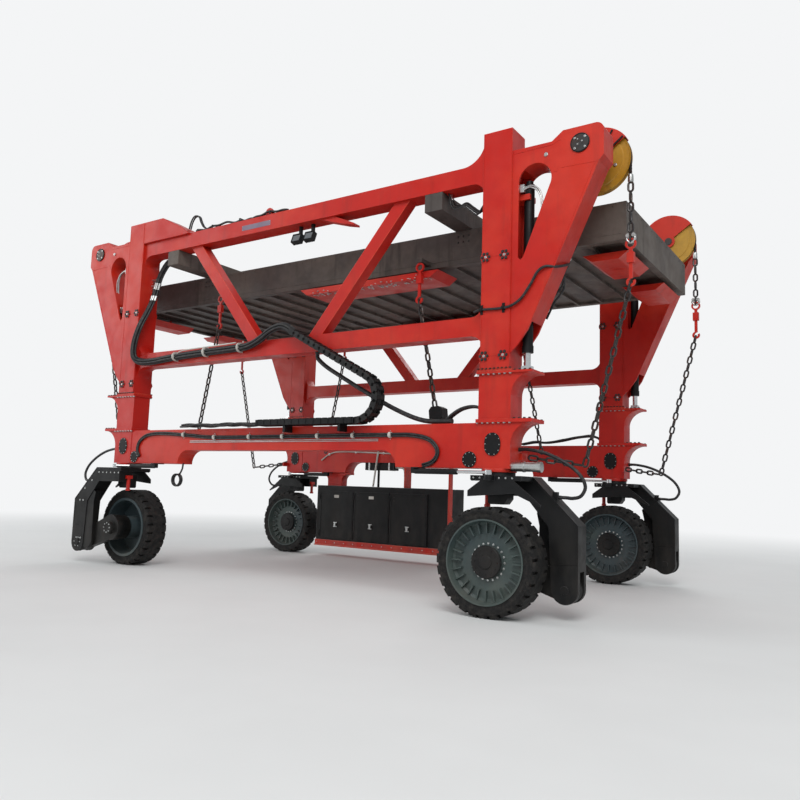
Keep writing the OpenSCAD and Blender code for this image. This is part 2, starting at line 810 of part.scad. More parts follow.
guide_z = beam_top_z + tray_floor + guide_t / 2;
guide_turn = 152;
guide_rise = mid_top_z + 90 - guide_z - guide_r * (1 - cos(guide_turn));
guide_run = guide_rise / sin(guide_turn);
guide_end_x = tray_right + guide_r * sin(guide_turn);
guide_end_z = guide_z + guide_r * (1 - cos(guide_turn));

// The energy chain's band in X and Z: the run in the tray, the bend and the rising run.
module guide_band() {
    links = floor(guide_run / guide_pitch);
    bends = floor(guide_r * guide_turn * PI / 180 / guide_pitch);
    difference() {
        union() {
            translate([-tray_left + 80, guide_z - guide_t / 2]) square([tray_left + tray_right - 80, guide_t]);
            translate([tray_right, guide_z + guide_r]) intersection() {
                difference() {
                    circle(guide_r + guide_t / 2);
                    circle(guide_r - guide_t / 2);
                }
                union() {
                    rotate(-90) square(2 * guide_r);
                    rotate(guide_turn - 180) square(2 * guide_r);
                }
            }
            translate([guide_end_x, guide_end_z]) rotate(guide_turn)
                translate([0, -guide_t / 2]) square([guide_run, guide_t]);
        }
        for (i = [1 : links]) translate([guide_end_x, guide_end_z]) rotate(guide_turn)
            for (s = [-1, 1]) translate([i * guide_pitch - 8, s * guide_t / 2 - 12]) square([16, 24]);
        for (i = [0 : bends]) translate([tray_right, guide_z + guide_r])
            rotate(-90 + i * guide_turn / bends) for (s = [-1, 1])
                translate([guide_r + s * guide_t / 2 - 12, -8]) square([24, 16]);
    }
}

module energy_chain() {
    color("#18181a") side_profile(tray_out + 30, tray_out + 30 + guide_w) guide_band();
}

// Hoses clipped to the near lower beam's outer face, as [x, z].
beam_hose_points = [
    [-4330, 2600], [-4430, 2850], [-4150, 3100], [-3400, 3140], [-1800, 3030],
    [2900, 3030], [3700, 2930], [3880, 2720], [3600, 2500]
];

module beam_hose() {
    y = -leg_y - side_beam_w / 2 - (hose_d + bend_extra) / 2 - seat;
    color("#18181a") tube_path([for (p = beam_hose_points) [p[0], y, p[1]]], hose_d);
}

// The hose bundle of the upper frame: along the middle beam, up a leg and in to the platform.
module hose_bundle() {
    y = -leg_y - mid_beam_w / 2 - (bundle_d + bend_extra) / 2 - seat;
    leg_face = -leg_x + sleeve_l / 2 + (bundle_d + bend_extra) / 2 + seat;
    side_y = -platform_w / 2 - seat;
    color("#18181a") tube_path([
        [200, y, mid_top_z - 90], [-4350, y, mid_top_z - 110], [leg_face, y, mid_top_z + 180],
        [leg_face, y, platform_top - 350], [leg_face + 150, y + 350, platform_top - 160],
        [leg_face + 150, side_y, platform_top - 160]
    ], bundle_d);
}

// A point of a smooth curve through four points, at t from 0 to 1 between the middle two.
function curve_point(a, b, c, d, t) =
    0.5 * (2 * b + (c - a) * t + (2 * a - 5 * b + 4 * c - d) * t * t + (3 * b - a - 3 * c + d) * t * t * t);

// A smooth route through the given points with the given number of steps between two points.
function route(p, n) = [
    for (i = [0 : len(p) - 2], k = [0 : n - 1]) curve_point(
        i > 0 ? p[i - 1] : 2 * p[0] - p[1], p[i], p[i + 1],
        i < len(p) - 2 ? p[i + 2] : 2 * p[i + 1] - p[i], k / n),
    p[len(p) - 1]
];

// A closed eight-sided tube along a route that never runs along Y. side is a unit vector across it.
module hose_tube(p, d) {
    n = len(p);
    sides = 8;
    along = [for (i = [0 : n - 1]) let (v = p[min(i + 1, n - 1)] - p[max(i - 1, 0)]) v / norm(v)];
    side = [for (v = along) let (w = cross(v, [0, 1, 0])) w / norm(w)];
    ring = [for (i = [0 : n - 1], k = [0 : sides - 1]) p[i] + d / 2 *
        (cos(k * 360 / sides) * side[i] + sin(k * 360 / sides) * cross(along[i], side[i]))];
    walls = [for (i = [0 : n - 2], k = [0 : sides - 1]) let (m = (k + 1) % sides)
        [i * sides + k, (i + 1) * sides + k, (i + 1) * sides + m, i * sides + m]];
    polyhedron(ring, concat([[for (k = [0 : sides - 1]) k]], walls,
        [[for (k = [sides - 1 : -1 : 0]) (n - 1) * sides + k]]));
}

slack_hose_d = 90;
slack_hose_points = [
    [900, -3200, 4757], [900, -3200, 4690], [930, -3200, 4610], [1150, -3200, 4440], [1500, -3200, 4240],
    [2200, -3200, 3860], [2900, -3200, 3510], [3500, -3200, 3300], [4100, -3200, 3272]
];

module slack_hose() {
    color("#18181a") hose_tube(route(slack_hose_points, 2), slack_hose_d);
}

// The hose loop beside a knuckle, in the knuckle's frame.
knuckle_hose_d = 60;
knuckle_hose_points = [
    [306, 125, 2780], [480, 125, 2780], [780, 130, 2720], [1080, 150, 2590], [1340, 175, 2400],
    [1450, 205, 2190], [1370, 240, 2030], [1230, 262, 1985], [1100, 265, 1990], [966, 265, 1990]
];

module knuckle_hose(sx, sy, style) {
    color("#18181a") at_kingpin(sx, sy, style) hose_tube(route(knuckle_hose_points, 1), knuckle_hose_d);
}

module floodlights() {
    z = top_beam_z - 330;
    y = -leg_y - 40;
    color("#1f1f22") for (x = [220, 560]) {
        block([x - 30, -leg_y - 30, z + lamp_h / 2], [x + 30, -leg_y + 30, top_beam_z]);
        translate([x, y, z]) rotate([-20, 0, 0]) difference() {
            block([-lamp_w / 2, -lamp_d, -lamp_h / 2], [lamp_w / 2, 0, lamp_h / 2 + 12]);
            block([-lamp_w / 2 + 15, -lamp_d - eps, -lamp_h / 2 + 15], [lamp_w / 2 - 15, 20 - lamp_d, lamp_h / 2 - 15]);
            for (i = [1 : 5]) block([-lamp_w / 2 + i * lamp_w / 6 - 8, -30, -lamp_h / 2 - eps],
                [-lamp_w / 2 + i * lamp_w / 6 + 8, eps, lamp_h / 2 - 20]);
        }
    }
}

// Knuckle about its kingpin: the arm points along X and the wheel is on the -Y side.
module knuckle(lever_side) {
    pivot_x = arm_reach - 230;
    pivot_z = 500;
    translate([0, 0, ring_z]) cylinder(d = ring_d - 40, h = ring_h / 2 - seat);
    block([-380, -330, turntable_z], [560, arm_out, ring_z]);
    translate([0, lever_side * lever_r, turntable_z]) cylinder(d = 160, h = turntable_t);
    block([-80, min(0, lever_side * lever_r), turntable_z], [80, max(0, lever_side * lever_r), ring_z]);
    side_profile(-330, -295) polygon([
        [-430, 1960], [-430, 2060], [-180, turntable_z], [420, turntable_z], [900, 1860], [900, 1830],
        [420, 2030]
    ]);
    difference() {
        side_profile(arm_in, arm_out) {
            polygon([
                [-330, ring_z], [560, ring_z], [arm_reach, ring_z - 780], [arm_reach, pivot_z + 200],
                [arm_reach, pivot_z], [pivot_x - 230, pivot_z], [pivot_x - 280, 1500],
                [pivot_x - 700, 1990], [-330, 1990]
            ]);
            translate([pivot_x, pivot_z]) circle(230);
        }
        block([pivot_x - 330, arm_in + 90, 200], [arm_reach + eps, arm_out - 90, pivot_z + 300]);
    }
    side_profile(arm_in + 95, arm_out - 95) {
        translate([pivot_x, pivot_z]) circle(215);
        translate([0, hub_z]) circle(300);
        polygon([[60, hub_z - 290], [pivot_x - 60, pivot_z - 205], [pivot_x + 60, pivot_z + 205],
            [80, hub_z + 288]]);
    }
    block([880, 225, 1900], [964, 305, 2080]);
    y_cylinder(pivot_x, pivot_z, 140, arm_in - 15, arm_out + 20);
    y_cylinder(0, hub_z, spindle_d, wheel_y, arm_out);
    y_cylinder(0, hub_z, spindle_d + 260, 40, arm_in + 95);
}

module rim() {
    inner = spindle_d / 2 + seat;
    half_w = tyre_w / 2;
    rim_r = rim_d / 2;
    rotate([90, 0, 0]) for (i = [0 : rim_rib_count - 1]) rotate([0, 0, i * 360 / rim_rib_count])
        translate([rim_r - 230, -10, 100]) cube([175, 20, 90]);
    rotate([90, 0, 0]) rotate_extrude($fn = 96) polygon([
        [inner, -half_w + 20], [inner + 110, -half_w + 20], [inner + 120, 60], [rim_r - 120, 90],
        [rim_r - 60, -half_w], [rim_r, -half_w], [rim_r, half_w], [rim_r - 25, half_w],
        [rim_r - 60, 150], [rim_r - 100, 120], [inner + 130, 100], [inner + 110, 170], [0, 190],
        [0, 10], [inner, 10]
    ]);
}

module tyre() {
    half_w = tyre_w / 2;
    rim_r = rim_d / 2;
    tyre_r = tyre_d / 2;
    shoulder = 150;
    rotate([90, 0, 0]) difference() {
        rotate_extrude($fn = 96) polygon([
            [rim_r + seat, -half_w + 15], [tyre_r - 60, -half_w], [tyre_r, -half_w + 30],
            [tyre_r, half_w - 30], [tyre_r - 60, half_w], [rim_r + seat, half_w - 15]
        ]);
        for (i = [0 : lug_count - 1]) rotate([0, 0, (i + 0.5) * 360 / lug_count]) for (s = [-1, 1])
            translate([tyre_r - lug_depth, -25, s > 0 ? half_w - shoulder : -half_w - eps])
                cube([lug_depth + eps, 50, shoulder + eps]);
    }
}

// Places a wheel or knuckle: style 0 as drawn, 1 turned half round, 2 mirrored.
module at_kingpin(sx, sy, style) {
    translate([sx * leg_x, sy * leg_y, 0]) {
        if (style == 0) children();
        if (style == 1) rotate([0, 0, 180]) children();
        if (style == 2) mirror([1, 0, 0]) children();
    }
}

module knuckle_at(sx, sy, style) {
    color("#1f1f22") at_kingpin(sx, sy, style) knuckle(style == 1 ? 1 : -1);
}

module rim_at(sx, sy, style) {
    color("#3c4648") at_kingpin(sx, sy, style) translate([0, wheel_y, hub_z]) rim();
}

module tyre_at(sx, sy, style) {
    color("#242426") at_kingpin(sx, sy, style) translate([0, wheel_y, hub_z]) tyre();
}

steer_z = ring_z + 50;
steer_end = -600;

module steer_barrel(sx) {
    start = steer_end - steer_barrel_l;
    translate([sx * leg_x, 0, 0]) flip(sx < 0) {
        difference() {
            x_cylinder(-lever_r, steer_z, steer_barrel_d, start, steer_end);
            x_cylinder(-lever_r, steer_z, steer_rod_d + 2 * seat, start + 60, steer_end + eps);
        }
        block([start - 60, -lever_r - 50, steer_z - 40], [start, -lever_r + 50, base_z]);
        block([start - 60, -lever_r - 50, base_z - 20], [start + 80, -side_beam_w / 2 + 40, base_z]);
    }
}

module steer_rod(sx) {
    translate([sx * leg_x, 0, 0]) flip(sx < 0) difference() {
        union() {
            x_cylinder(-lever_r, steer_z, steer_rod_d, steer_end - 420, -30);
            translate([0, -lever_r, steer_z - 38]) cylinder(d = 120, h = 76);
        }
        translate([0, -lever_r, steer_z - 60]) cylinder(d = 50, h = 120);
    }
}

pack_face = leg_y - 525;
pack_right = pack_l - pack_left;
pack_z = sill_z + sill_h;
pack_top = pack_z + pack_h;
pack_wall = 30;
door_count = 3;
function door_x(i) = -pack_left + door_in + i * (door_l + door_gap);

module power_pack() {
    silencer_z = base_z + arch_h - 220;
    color("#1f1f22") {
        difference() {
            block([-pack_left, pack_face + door_t, pack_z], [pack_right, pack_face + pack_w, pack_top]);
            block([-pack_left + pack_wall, pack_face + door_t + pack_wall, pack_z + pack_wall],
                [pack_right - pack_wall, pack_face + pack_w - pack_wall, pack_top - pack_wall - 120]);
            for (i = [0 : door_count - 1]) block(
                [door_x(i) + 50, pack_face + door_t - eps, pack_z + 80],
                [door_x(i) + door_l - 50, pack_face + door_t + pack_wall + eps, pack_top - 200]);
        }
        translate([-1860, leg_y - 100, pack_top - 20]) cylinder(d = 70, h = silencer_z - pack_top + 40);
        block([-2300, leg_y - 180, silencer_z], [-1300, leg_y + 100, base_z + arch_h]);
    }
}

module pack_sill() {
    post_y = pack_face + 20;
    post_w = 150;
    color("#c9291d") {
        block([-pack_left, pack_face, sill_z], [pack_right, pack_face + pack_w, pack_z]);
        block([-pack_left, pack_face - 40, sill_z], [pack_right, pack_face, sill_z + 30]);
        side_profile(leg_y - 160, leg_y + 120) translate([-hanger_left, 0]) {
            translate([-hanger_l / 2, pack_top]) square([hanger_l, base_z - pack_top]);
            translate([-hanger_l, base_z - 60]) square([2 * hanger_l, 60]);
            for (s = [-1, 1]) scale([s, 1]) translate([hanger_l / 2, base_z - 60]) mirror([0, 1])
                concave_corner(180);
        }
        block([-hanger_mid, leg_y - 150, pack_top], [hanger_t - hanger_mid, leg_y + 150, base_z + arch_h]);
        side_profile(post_y, post_y + post_w) polygon([
            [pack_right, pack_z + 700], [pack_right + hanger_t, pack_z + 880],
            [pack_right + hanger_t, base_z + arch_h], [pack_right, base_z + arch_h]
        ]);
        side_profile(post_y, post_y + 20) polygon([
            [pack_right, pack_z], [pack_right + 260, pack_z + 560], [pack_right + hanger_t, pack_z + 1000],
            [pack_right, pack_z + 1000]
        ]);
        block([pack_right, post_y, base_z + arch_h - 60], [pack_right + hanger_t, leg_y + 100, base_z + arch_h]);
    }
}

module engine() {
    color("#6a6d70") block([-engine_left, pack_face + 200, pack_z + pack_wall],
        [engine_l - engine_left, pack_face + pack_w - 100, pack_z + pack_wall + engine_h]);
}

module pack_door(i) {
    x0 = door_x(i);
    color("#232326") {
        block([x0, pack_face, pack_z + 40], [x0 + door_l, pack_face + door_t - seat, pack_top - 160]);
        translate([x0, pack_face - 8, pack_z + 120]) cylinder(d = 24, h = 160);
        translate([x0, pack_face - 8, pack_top - 400]) cylinder(d = 24, h = 160);
        block([x0 + door_l / 2 - 50, pack_face - 25, pack_z + 400],
            [x0 + door_l / 2 + 50, pack_face, pack_z + 520]);
    }
}

module side_parts(sy) {
    translate([0, sy * leg_y, 0]) children();
}

color("#c9291d") side_parts(-1) side_beam();  // near_side_beam
color("#c9291d") side_parts(1) side_beam();  // far_side_beam
color("#c9291d") for (s = [-1, 1]) at_leg(s, -1) leg_base();  // near_leg_bases
color("#c9291d") for (s = [-1, 1]) at_leg(s, 1) leg_base();  // far_leg_bases
color("#8a8d90") for (s = [-1, 1]) at_leg(s, -1) mast();  // near_masts
color("#8a8d90") for (s = [-1, 1]) at_leg(s, 1) mast();  // far_masts
color("silver") for (s = [-1, 1]) at_leg(s, -1) lift_rod();  // near_lift_rods
color("silver") for (s = [-1, 1]) at_leg(s, 1) lift_rod();  // far_lift_rods
color("#1f1f22") side_parts(-1) for (s = [-1, 1]) steer_barrel(s);  // near_steer_barrels
color("#1f1f22") side_parts(1) for (s = [-1, 1]) steer_barrel(s);  // far_steer_barrels
cable_tray();
energy_chain();
beam_hose();
slack_hose();
color("#c9291d") for (sx = [-1, 1], sy = [-1, 1]) at_leg(sx, sy) sleeve_leg();  // sleeve_legs
color("#c9291d") for (sx = [-1, 1], sy = [-1, 1]) at_leg(sx, sy) ear();  // ears
mid_beams();
top_beams();
braces();
cross_girders();
platform_sides();
platform_ends();
platform_deck();
platform_bars();
color("#1f1f22") for (sx = [-1, 1], sy = [-1, 1]) at_leg(sx, sy) lift_barrel();  // lift_barrels
color("#2c2e30") for (sx = [-1, 1], sy = [-1, 1]) at_leg(sx, sy) sheave_shaft();  // sheave_shafts
color("#e0b020") for (sx = [-1, 1], sy = [-1, 1]) at_leg(sx, sy) sheave();  // sheaves
color("#c9291d") for (sx = [-1, 1], sy = [-1, 1]) at_leg(sx, sy) sheave_guard();  // sheave_guards
lifting_chains();
lifting_hooks();
chain_pans();
floodlights();
hose_bundle();
knuckle_hose(1, -1, 0);  // knuckle_hose_near_right
knuckle_hose(-1, -1, 1);  // knuckle_hose_near_left
knuckle_hose(1, 1, 0);  // knuckle_hose_far_right
knuckle_hose(-1, 1, 2);  // knuckle_hose_far_left
lifting_lugs();
power_pack();
pack_sill();
engine();
pack_door(0);  // door_left
pack_door(1);  // door_middle
pack_door(2);  // door_right
knuckle_at(1, -1, 0);  // knuckle_near_right
knuckle_at(-1, -1, 1);  // knuckle_near_left
knuckle_at(1, 1, 0);  // knuckle_far_right
knuckle_at(-1, 1, 2);  // knuckle_far_left
rim_at(1, -1, 0);  // rim_near_right
rim_at(-1, -1, 1);  // rim_near_left
rim_at(1, 1, 0);  // rim_far_right
rim_at(-1, 1, 2);  // rim_far_left
tyre_at(1, -1, 0);  // tyre_near_right
tyre_at(-1, -1, 1);  // tyre_near_left
tyre_at(1, 1, 0);  // tyre_far_right
tyre_at(-1, 1, 2);  // tyre_far_left
color("silver") side_parts(-1) steer_rod(1);  // steer_rod_near_right
color("silver") side_parts(-1) steer_rod(-1);  // steer_rod_near_left
color("silver") side_parts(1) steer_rod(1);  // steer_rod_far_right
color("silver") side_parts(1) steer_rod(-1);  // steer_rod_far_left
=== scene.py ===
"""Looks of a straddle carrier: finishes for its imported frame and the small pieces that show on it.

Lengths are in metres in the frame's axes: +X towards the right end, +Y towards the power pack, +Z up.
A corner's own frame has its origin under the leg, X and Y pointing outboard.
"""
import json
import logging
import math
from dataclasses import dataclass
from enum import Enum, StrEnum
from typing import Protocol, Sequence

import bmesh
import bpy
import numpy as np
from mathutils import Matrix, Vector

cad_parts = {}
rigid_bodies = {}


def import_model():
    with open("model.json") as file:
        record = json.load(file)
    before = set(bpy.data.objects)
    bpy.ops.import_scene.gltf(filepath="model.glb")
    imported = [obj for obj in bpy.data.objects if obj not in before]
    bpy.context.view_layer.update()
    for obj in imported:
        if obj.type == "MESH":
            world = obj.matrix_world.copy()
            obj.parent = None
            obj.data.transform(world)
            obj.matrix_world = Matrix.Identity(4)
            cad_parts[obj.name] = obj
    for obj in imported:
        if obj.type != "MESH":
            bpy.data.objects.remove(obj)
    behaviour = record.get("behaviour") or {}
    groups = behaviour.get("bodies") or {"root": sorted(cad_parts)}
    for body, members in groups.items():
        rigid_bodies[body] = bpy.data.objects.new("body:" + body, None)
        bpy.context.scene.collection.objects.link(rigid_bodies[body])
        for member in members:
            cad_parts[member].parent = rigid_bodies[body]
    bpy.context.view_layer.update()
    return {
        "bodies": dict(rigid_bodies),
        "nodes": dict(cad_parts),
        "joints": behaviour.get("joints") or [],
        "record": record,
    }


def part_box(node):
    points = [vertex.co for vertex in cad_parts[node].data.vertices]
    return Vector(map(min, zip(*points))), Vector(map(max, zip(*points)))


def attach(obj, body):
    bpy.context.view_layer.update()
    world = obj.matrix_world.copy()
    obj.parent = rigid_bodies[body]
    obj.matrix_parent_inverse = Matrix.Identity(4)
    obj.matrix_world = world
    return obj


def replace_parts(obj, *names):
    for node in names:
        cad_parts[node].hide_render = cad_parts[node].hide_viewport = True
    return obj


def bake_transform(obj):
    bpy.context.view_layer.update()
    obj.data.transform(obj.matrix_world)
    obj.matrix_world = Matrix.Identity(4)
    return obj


log = logging.getLogger("straddle_carrier")

# A point or direction, several of them, and fixed pairs and triples of numbers
Vec = Sequence[float]
Vecs = Sequence[Vec]
Pair = tuple[float, float]
Triple = tuple[float, float, float]
# Rows of points, a mesh as points and blocks of faces, and what a shader's input takes
Points = np.ndarray
Part = tuple[np.ndarray, list[np.ndarray]]
Piece = bpy.types.Object
Socket = bpy.types.NodeSocket
Feed = Socket | float | str | Vec
AXIS_X = (1.0, 0.0, 0.0)
AXIS_Y = (0.0, 1.0, 0.0)
AXIS_Z = (0.0, 0.0, 1.0)
# Degrees: faces that meet at less shade as one, and edges of small pieces that meet at more are broken.
SMOOTH_BELOW = 40.0
BREAK_ABOVE = 35.0


# Named options


class Body(StrEnum):
    """The three bodies that carry the machine's steelwork."""

    NEAR = "near_frame"
    FAR = "far_frame"
    UPPER = "upper_frame"


class Slot(StrEnum):
    """The part's material slots."""

    RED = "red_paint"
    BLACK = "black_paint"
    GREY = "grey_steel"
    MACHINED = "machined"
    CHROME = "chrome"
    DARK = "dark_steel"
    YELLOW = "yellow_paint"
    WHEEL = "wheel_paint"
    TYRE = "tyre"
    HOSE = "hose"
    ENGINE = "engine"


class Plane(Enum):
    """The plane that an outline is drawn in, as the numbers of its two axes."""

    XZ = (0, 2)
    YZ = (1, 2)


class Turn(Enum):
    """How a corner's knuckle stands, as the signs of its own X and Y axes."""

    AS_DRAWN = (1, 1)
    HALF_ROUND = (-1, -1)
    MIRRORED = (-1, 1)


# Driving sizes of the machine, as the frame has them


@dataclass(frozen=True)
class Machine:
    """The sizes that the small pieces are placed by, in metres."""

    leg_x: float = 5.0
    leg_y: float = 3.125
    hub_z: float = 0.9
    wheel_in: float = 0.25
    base_z: float = 2.44
    base_top: float = 3.28
    beam_half_w: float = 0.22
    stub_half_l: float = 0.305
    stub_half_w: float = 0.23
    splice_z: float = 4.10
    flange_t: float = 0.04
    sleeve_half_l: float = 0.28
    sleeve_half_w: float = 0.26
    head_z: float = 8.42
    mid_z: Pair = (4.76, 5.10)
    top_z: Pair = (7.55, 7.90)
    platform_half: Pair = (6.90, 2.15)
    shaft_x: float = 1.50
    shaft_z: float = 7.85
    sheave_y: float = -0.69
    rope_r: float = 0.558
    tyre_r: float = 0.90
    tyre_half_w: float = 0.28
    rim_r: float = 0.70
    pack_face: float = 2.60
    pack_x: Pair = (-3.80, 0.70)


MACHINE = Machine()


@dataclass(frozen=True)
class Corner:
    """One leg of the machine: its name, its side along X and Y, and how its knuckle stands."""

    name: str
    sx: int
    sy: int
    turn: Turn

    @property
    def side_body(self) -> Body:
        """Lower frame that carries this corner."""
        return Body.NEAR if self.sy < 0 else Body.FAR

    def under(self) -> Matrix:
        """Shift from the machine's middle to the ground under the leg."""
        return Matrix.Translation((self.sx * MACHINE.leg_x, self.sy * MACHINE.leg_y, 0))

    def leg(self) -> Matrix:
        """Frame of the leg: origin on the ground, X and Y outboard."""
        return self.under() @ Matrix.Diagonal((self.sx, self.sy, 1, 1))

    def kingpin(self) -> Matrix:
        """Frame of the knuckle: the arm points along X and the wheel is on the -Y side."""
        return self.under() @ Matrix.Diagonal((*self.turn.value, 1, 1))

    def hub(self) -> Matrix:
        """Frame of the wheel: origin at its centre, the disc's open side towards -Y."""
        return self.kingpin() @ Matrix.Translation((0, -MACHINE.wheel_in, MACHINE.hub_z))


CORNERS = (
    Corner("near_right", 1, -1, Turn.AS_DRAWN),
    Corner("near_left", -1, -1, Turn.HALF_ROUND),
    Corner("far_right", 1, 1, Turn.AS_DRAWN),
    Corner("far_left", -1, 1, Turn.MIRRORED),
)


# Geometry made as whole arrays


def grid_faces(rows: int, cols: int, wrap_rows: bool = False, wrap_cols: bool = True) -> np.ndarray:
    """Quads that join a grid of points, row by row.

    Args:
        rows: number of rows of points.
        cols: points in a row.
        wrap_rows: joins the last row to the first.
        wrap_cols: joins the last point of a row to its first.

    Returns:
        The point numbers of each quad.
    """
    r = np.arange(rows if wrap_rows else rows - 1)
    c = np.arange(cols if wrap_cols else cols - 1)
    r, c = (a.ravel() for a in np.meshgrid(r, c, indexing="ij"))
    below, right = (r + 1) % rows, (c + 1) % cols
    return np.stack([r * cols + c, r * cols + right, below * cols + right, below * cols + c], axis=1)


def full_turn(count: int) -> np.ndarray:
    """Angles spaced evenly round a full turn, from 0."""
    return np.arange(count) * 2 * math.pi / count


def unit(vectors: np.ndarray) -> np.ndarray:
    """Each row divided by its length."""
    return vectors / np.linalg.norm(vectors, axis=1, keepdims=True)


def flat_route(y: float, places: Sequence[Pair], steps: int = 6) -> Points:
    """A smooth curve at one Y through given points in X and Z."""
    return smooth_route([(x, y, z) for x, z in places], steps)


def distances(path: Points) -> np.ndarray:
    """Distance along a path at each of its points: the sum of the steps before it."""
    return np.concatenate([[0], np.cumsum(np.linalg.norm(np.diff(path, axis=0), axis=1))])


def smooth_route(points: Vecs, steps: int) -> Points:
    """A smooth curve through given points.

    Each point lies between its neighbours' tangents: the curve is the cubic that leaves a point
    along the line through the points before and after it.

    Args:
        points: the points that the curve passes.
        steps: steps between two points.

    Returns:
        The points of the curve.
    """
    p = np.asarray(points, float)
    full = np.vstack([2 * p[0] - p[1], p, 2 * p[-1] - p[-2]])
    a, b, c, d = (full[i : i + len(p) - 1, None] for i in range(4))
    t = (np.arange(steps) / steps)[None, :, None]
    curve = 0.5 * (
        2 * b + (c - a) * t + (2 * a - 5 * b + 4 * c - d) * t**2 + (3 * b - a - 3 * c + d) * t**3
    )
    return np.vstack([curve.reshape(-1, 3), p[-1]])


def tube(path: Vecs, radius: float | np.ndarray, sides: int = 10, across: Vec = AXIS_Y) -> Part:
    """A closed round tube along a path that never runs along the vector across.

    At each point two unit vectors stand square to the path, and the ring is the radius times
    the cosine of the turn along one plus the sine along the other.

    Args:
        path: the points of its centre line.
        radius: one radius, or one for each point.
        sides: sides of its section.
        across: a direction that the path never takes.

    Returns:
        The tube's points and faces.
    """
    p = np.asarray(path, float)
    along = np.gradient(p, axis=0)
    side = unit(np.cross(along, np.asarray(across, float)))
    up = unit(np.cross(side, along))
    turn = full_turn(sides)
    ring = side[:, None] * np.cos(turn)[None, :, None] + up[:, None] * np.sin(turn)[None, :, None]
    size = np.broadcast_to(np.asarray(radius, float), (len(p),))[:, None, None]
    points = (p[:, None] + ring * size).reshape(-1, 3)
    caps = np.array([np.arange(sides), (len(p) - 1) * sides + np.arange(sides)[::-1]])
    return points, [grid_faces(len(p), sides), caps]


def lathe(profile: Vecs, segments: int = 48, closed: bool = True) -> Part:
    """A shape turned about the Y axis: X and Z are the radius times the turn's cosine and sine.

    Args:
        profile: the points of the section, each a radius and a Y.
        segments: steps round the axis.
        closed: the section is a closed loop. Otherwise its two ends get flat caps.

    Returns:
        The turned shape's points and faces.
    """
    section = np.asarray(profile, float)
    turn = full_turn(segments)
    x = section[:, :1] * np.cos(turn)
    z = section[:, :1] * np.sin(turn)
    y = np.broadcast_to(section[:, 1:], x.shape)
    points = np.stack([x, y, z], axis=2).reshape(-1, 3)
    faces = [grid_faces(len(section), segments, wrap_rows=closed)]
    if not closed:
        first, last = np.arange(segments), (len(section) - 1) * segments + np.arange(segments)
        faces.append(np.array([first, last]))
    return points, faces


def prism(outline: Vecs, low: float, high: float, plane: Plane = Plane.XZ) -> Part:
    """An outline pushed from low to high across its plane.

    Args:
        outline: the corners of the outline in order.
        low: where it starts along the axis that the plane leaves out.
        high: where it ends.
        plane: the plane that the outline is drawn in.

    Returns:
        The prism's points and faces.
    """
    flat = np.asarray(outline, float)
    axes = list(plane.value)
    points = np.zeros((2, len(flat), 3))
    points[:, :, axes] = flat
    points[0, :, 3 - sum(axes)] = low
    points[1, :, 3 - sum(axes)] = high
    caps = np.array([np.arange(len(flat)), len(flat) + np.arange(len(flat))])
    return points.reshape(-1, 3), [grid_faces(2, len(flat)), caps]


def box(low: Vec, high: Vec) -> Part:
    """A block between two corners."""
    corners = [(low[0], low[2]), (high[0], low[2]), (high[0], high[2]), (low[0], high[2])]
    return prism(corners, low[1], high[1])


def stadium(width: float, height: float, steps: int = 10) -> Points:
    """A round-ended outline: two half circles, the upper one lifted by height less width.

    Args:
        width: across its round ends.
        height: from end to end; equal to width it gives a circle.
        steps: points of each half circle.

    Returns:
        The outline's corners.
    """
    turn = np.linspace(0, math.pi, steps)
    cap = np.stack([np.cos(turn), np.sin(turn)], axis=1) * width / 2
    lift = np.array([0, (height - width) / 2])
    return np.vstack([cap + lift, -cap - lift])


def turned(degrees: float, axis: str) -> Matrix:
    """A turn about the X, Y or Z axis."""
    return Matrix.Rotation(math.radians(degrees), 4, axis)


def moved(part: Part, place: Matrix) -> Part:
    """The same part put in place by a matrix."""
    m = np.array(place)
    return part[0] @ m[:3, :3].T + m[:3, 3], part[1]


def copies(part: Part, places: np.ndarray) -> Part:
    """One part repeated at many places: its points times each place's turn, plus its shift.

    Args:
        part: the part to repeat.
        places: one 4x4 matrix for each copy.

    Returns:
        All copies as one part.
    """
    count = len(part[0])
    points = np.einsum("kij,nj->kni", places[:, :3, :3], part[0]) + places[:, None, :3, 3]
    shift = (np.arange(len(places)) * count)[:, None, None]
    return points.reshape(-1, 3), [(f[None] + shift).reshape(-1, f.shape[1]) for f in part[1]]


def facing(points: Vecs, normal: Vec) -> np.ndarray:
    """Matrices that put a part drawn up along +Z at each point.

    Args:
        points: where the copies stand.
        normal: the direction that their Z takes.

    Returns:
        One 4x4 matrix for each point.
    """
    p = np.asarray(points, float)
    z = np.asarray(normal, float) / np.linalg.norm(normal)
    x = np.cross([0.0, 1.0, 0.0] if abs(z[1]) < 0.9 else [1.0, 0.0, 0.0], z)
    x /= np.linalg.norm(x)
    places = np.zeros((len(p), 4, 4))
    places[:, :3, :3] = np.stack([x, np.cross(z, x), z], axis=1)
    places[:, :3, 3] = p
    places[:, 3, 3] = 1
    return places


def on_circle(centre: Vec, radius: float, count: int, start: float = 0.0) -> Points:
    """Points spaced evenly on a circle in X and Z.

    Args:
        centre: the circle's centre.
        radius: its radius.
        count: how many points.
        start: angle of the first point from X, in radians.

    Returns:
        The points.
    """
    turn = start + full_turn(count)
    points = np.tile(np.asarray(centre, float), (count, 1))
    points[:, 0] += radius * np.cos(turn)
    points[:, 2] += radius * np.sin(turn)
    return points


def between(start: Vec, end: Vec, count: int) -> Points:
    """Points spaced evenly from start to end, both included."""
    return np.linspace(np.asarray(start, float), np.asarray(end, float), count)


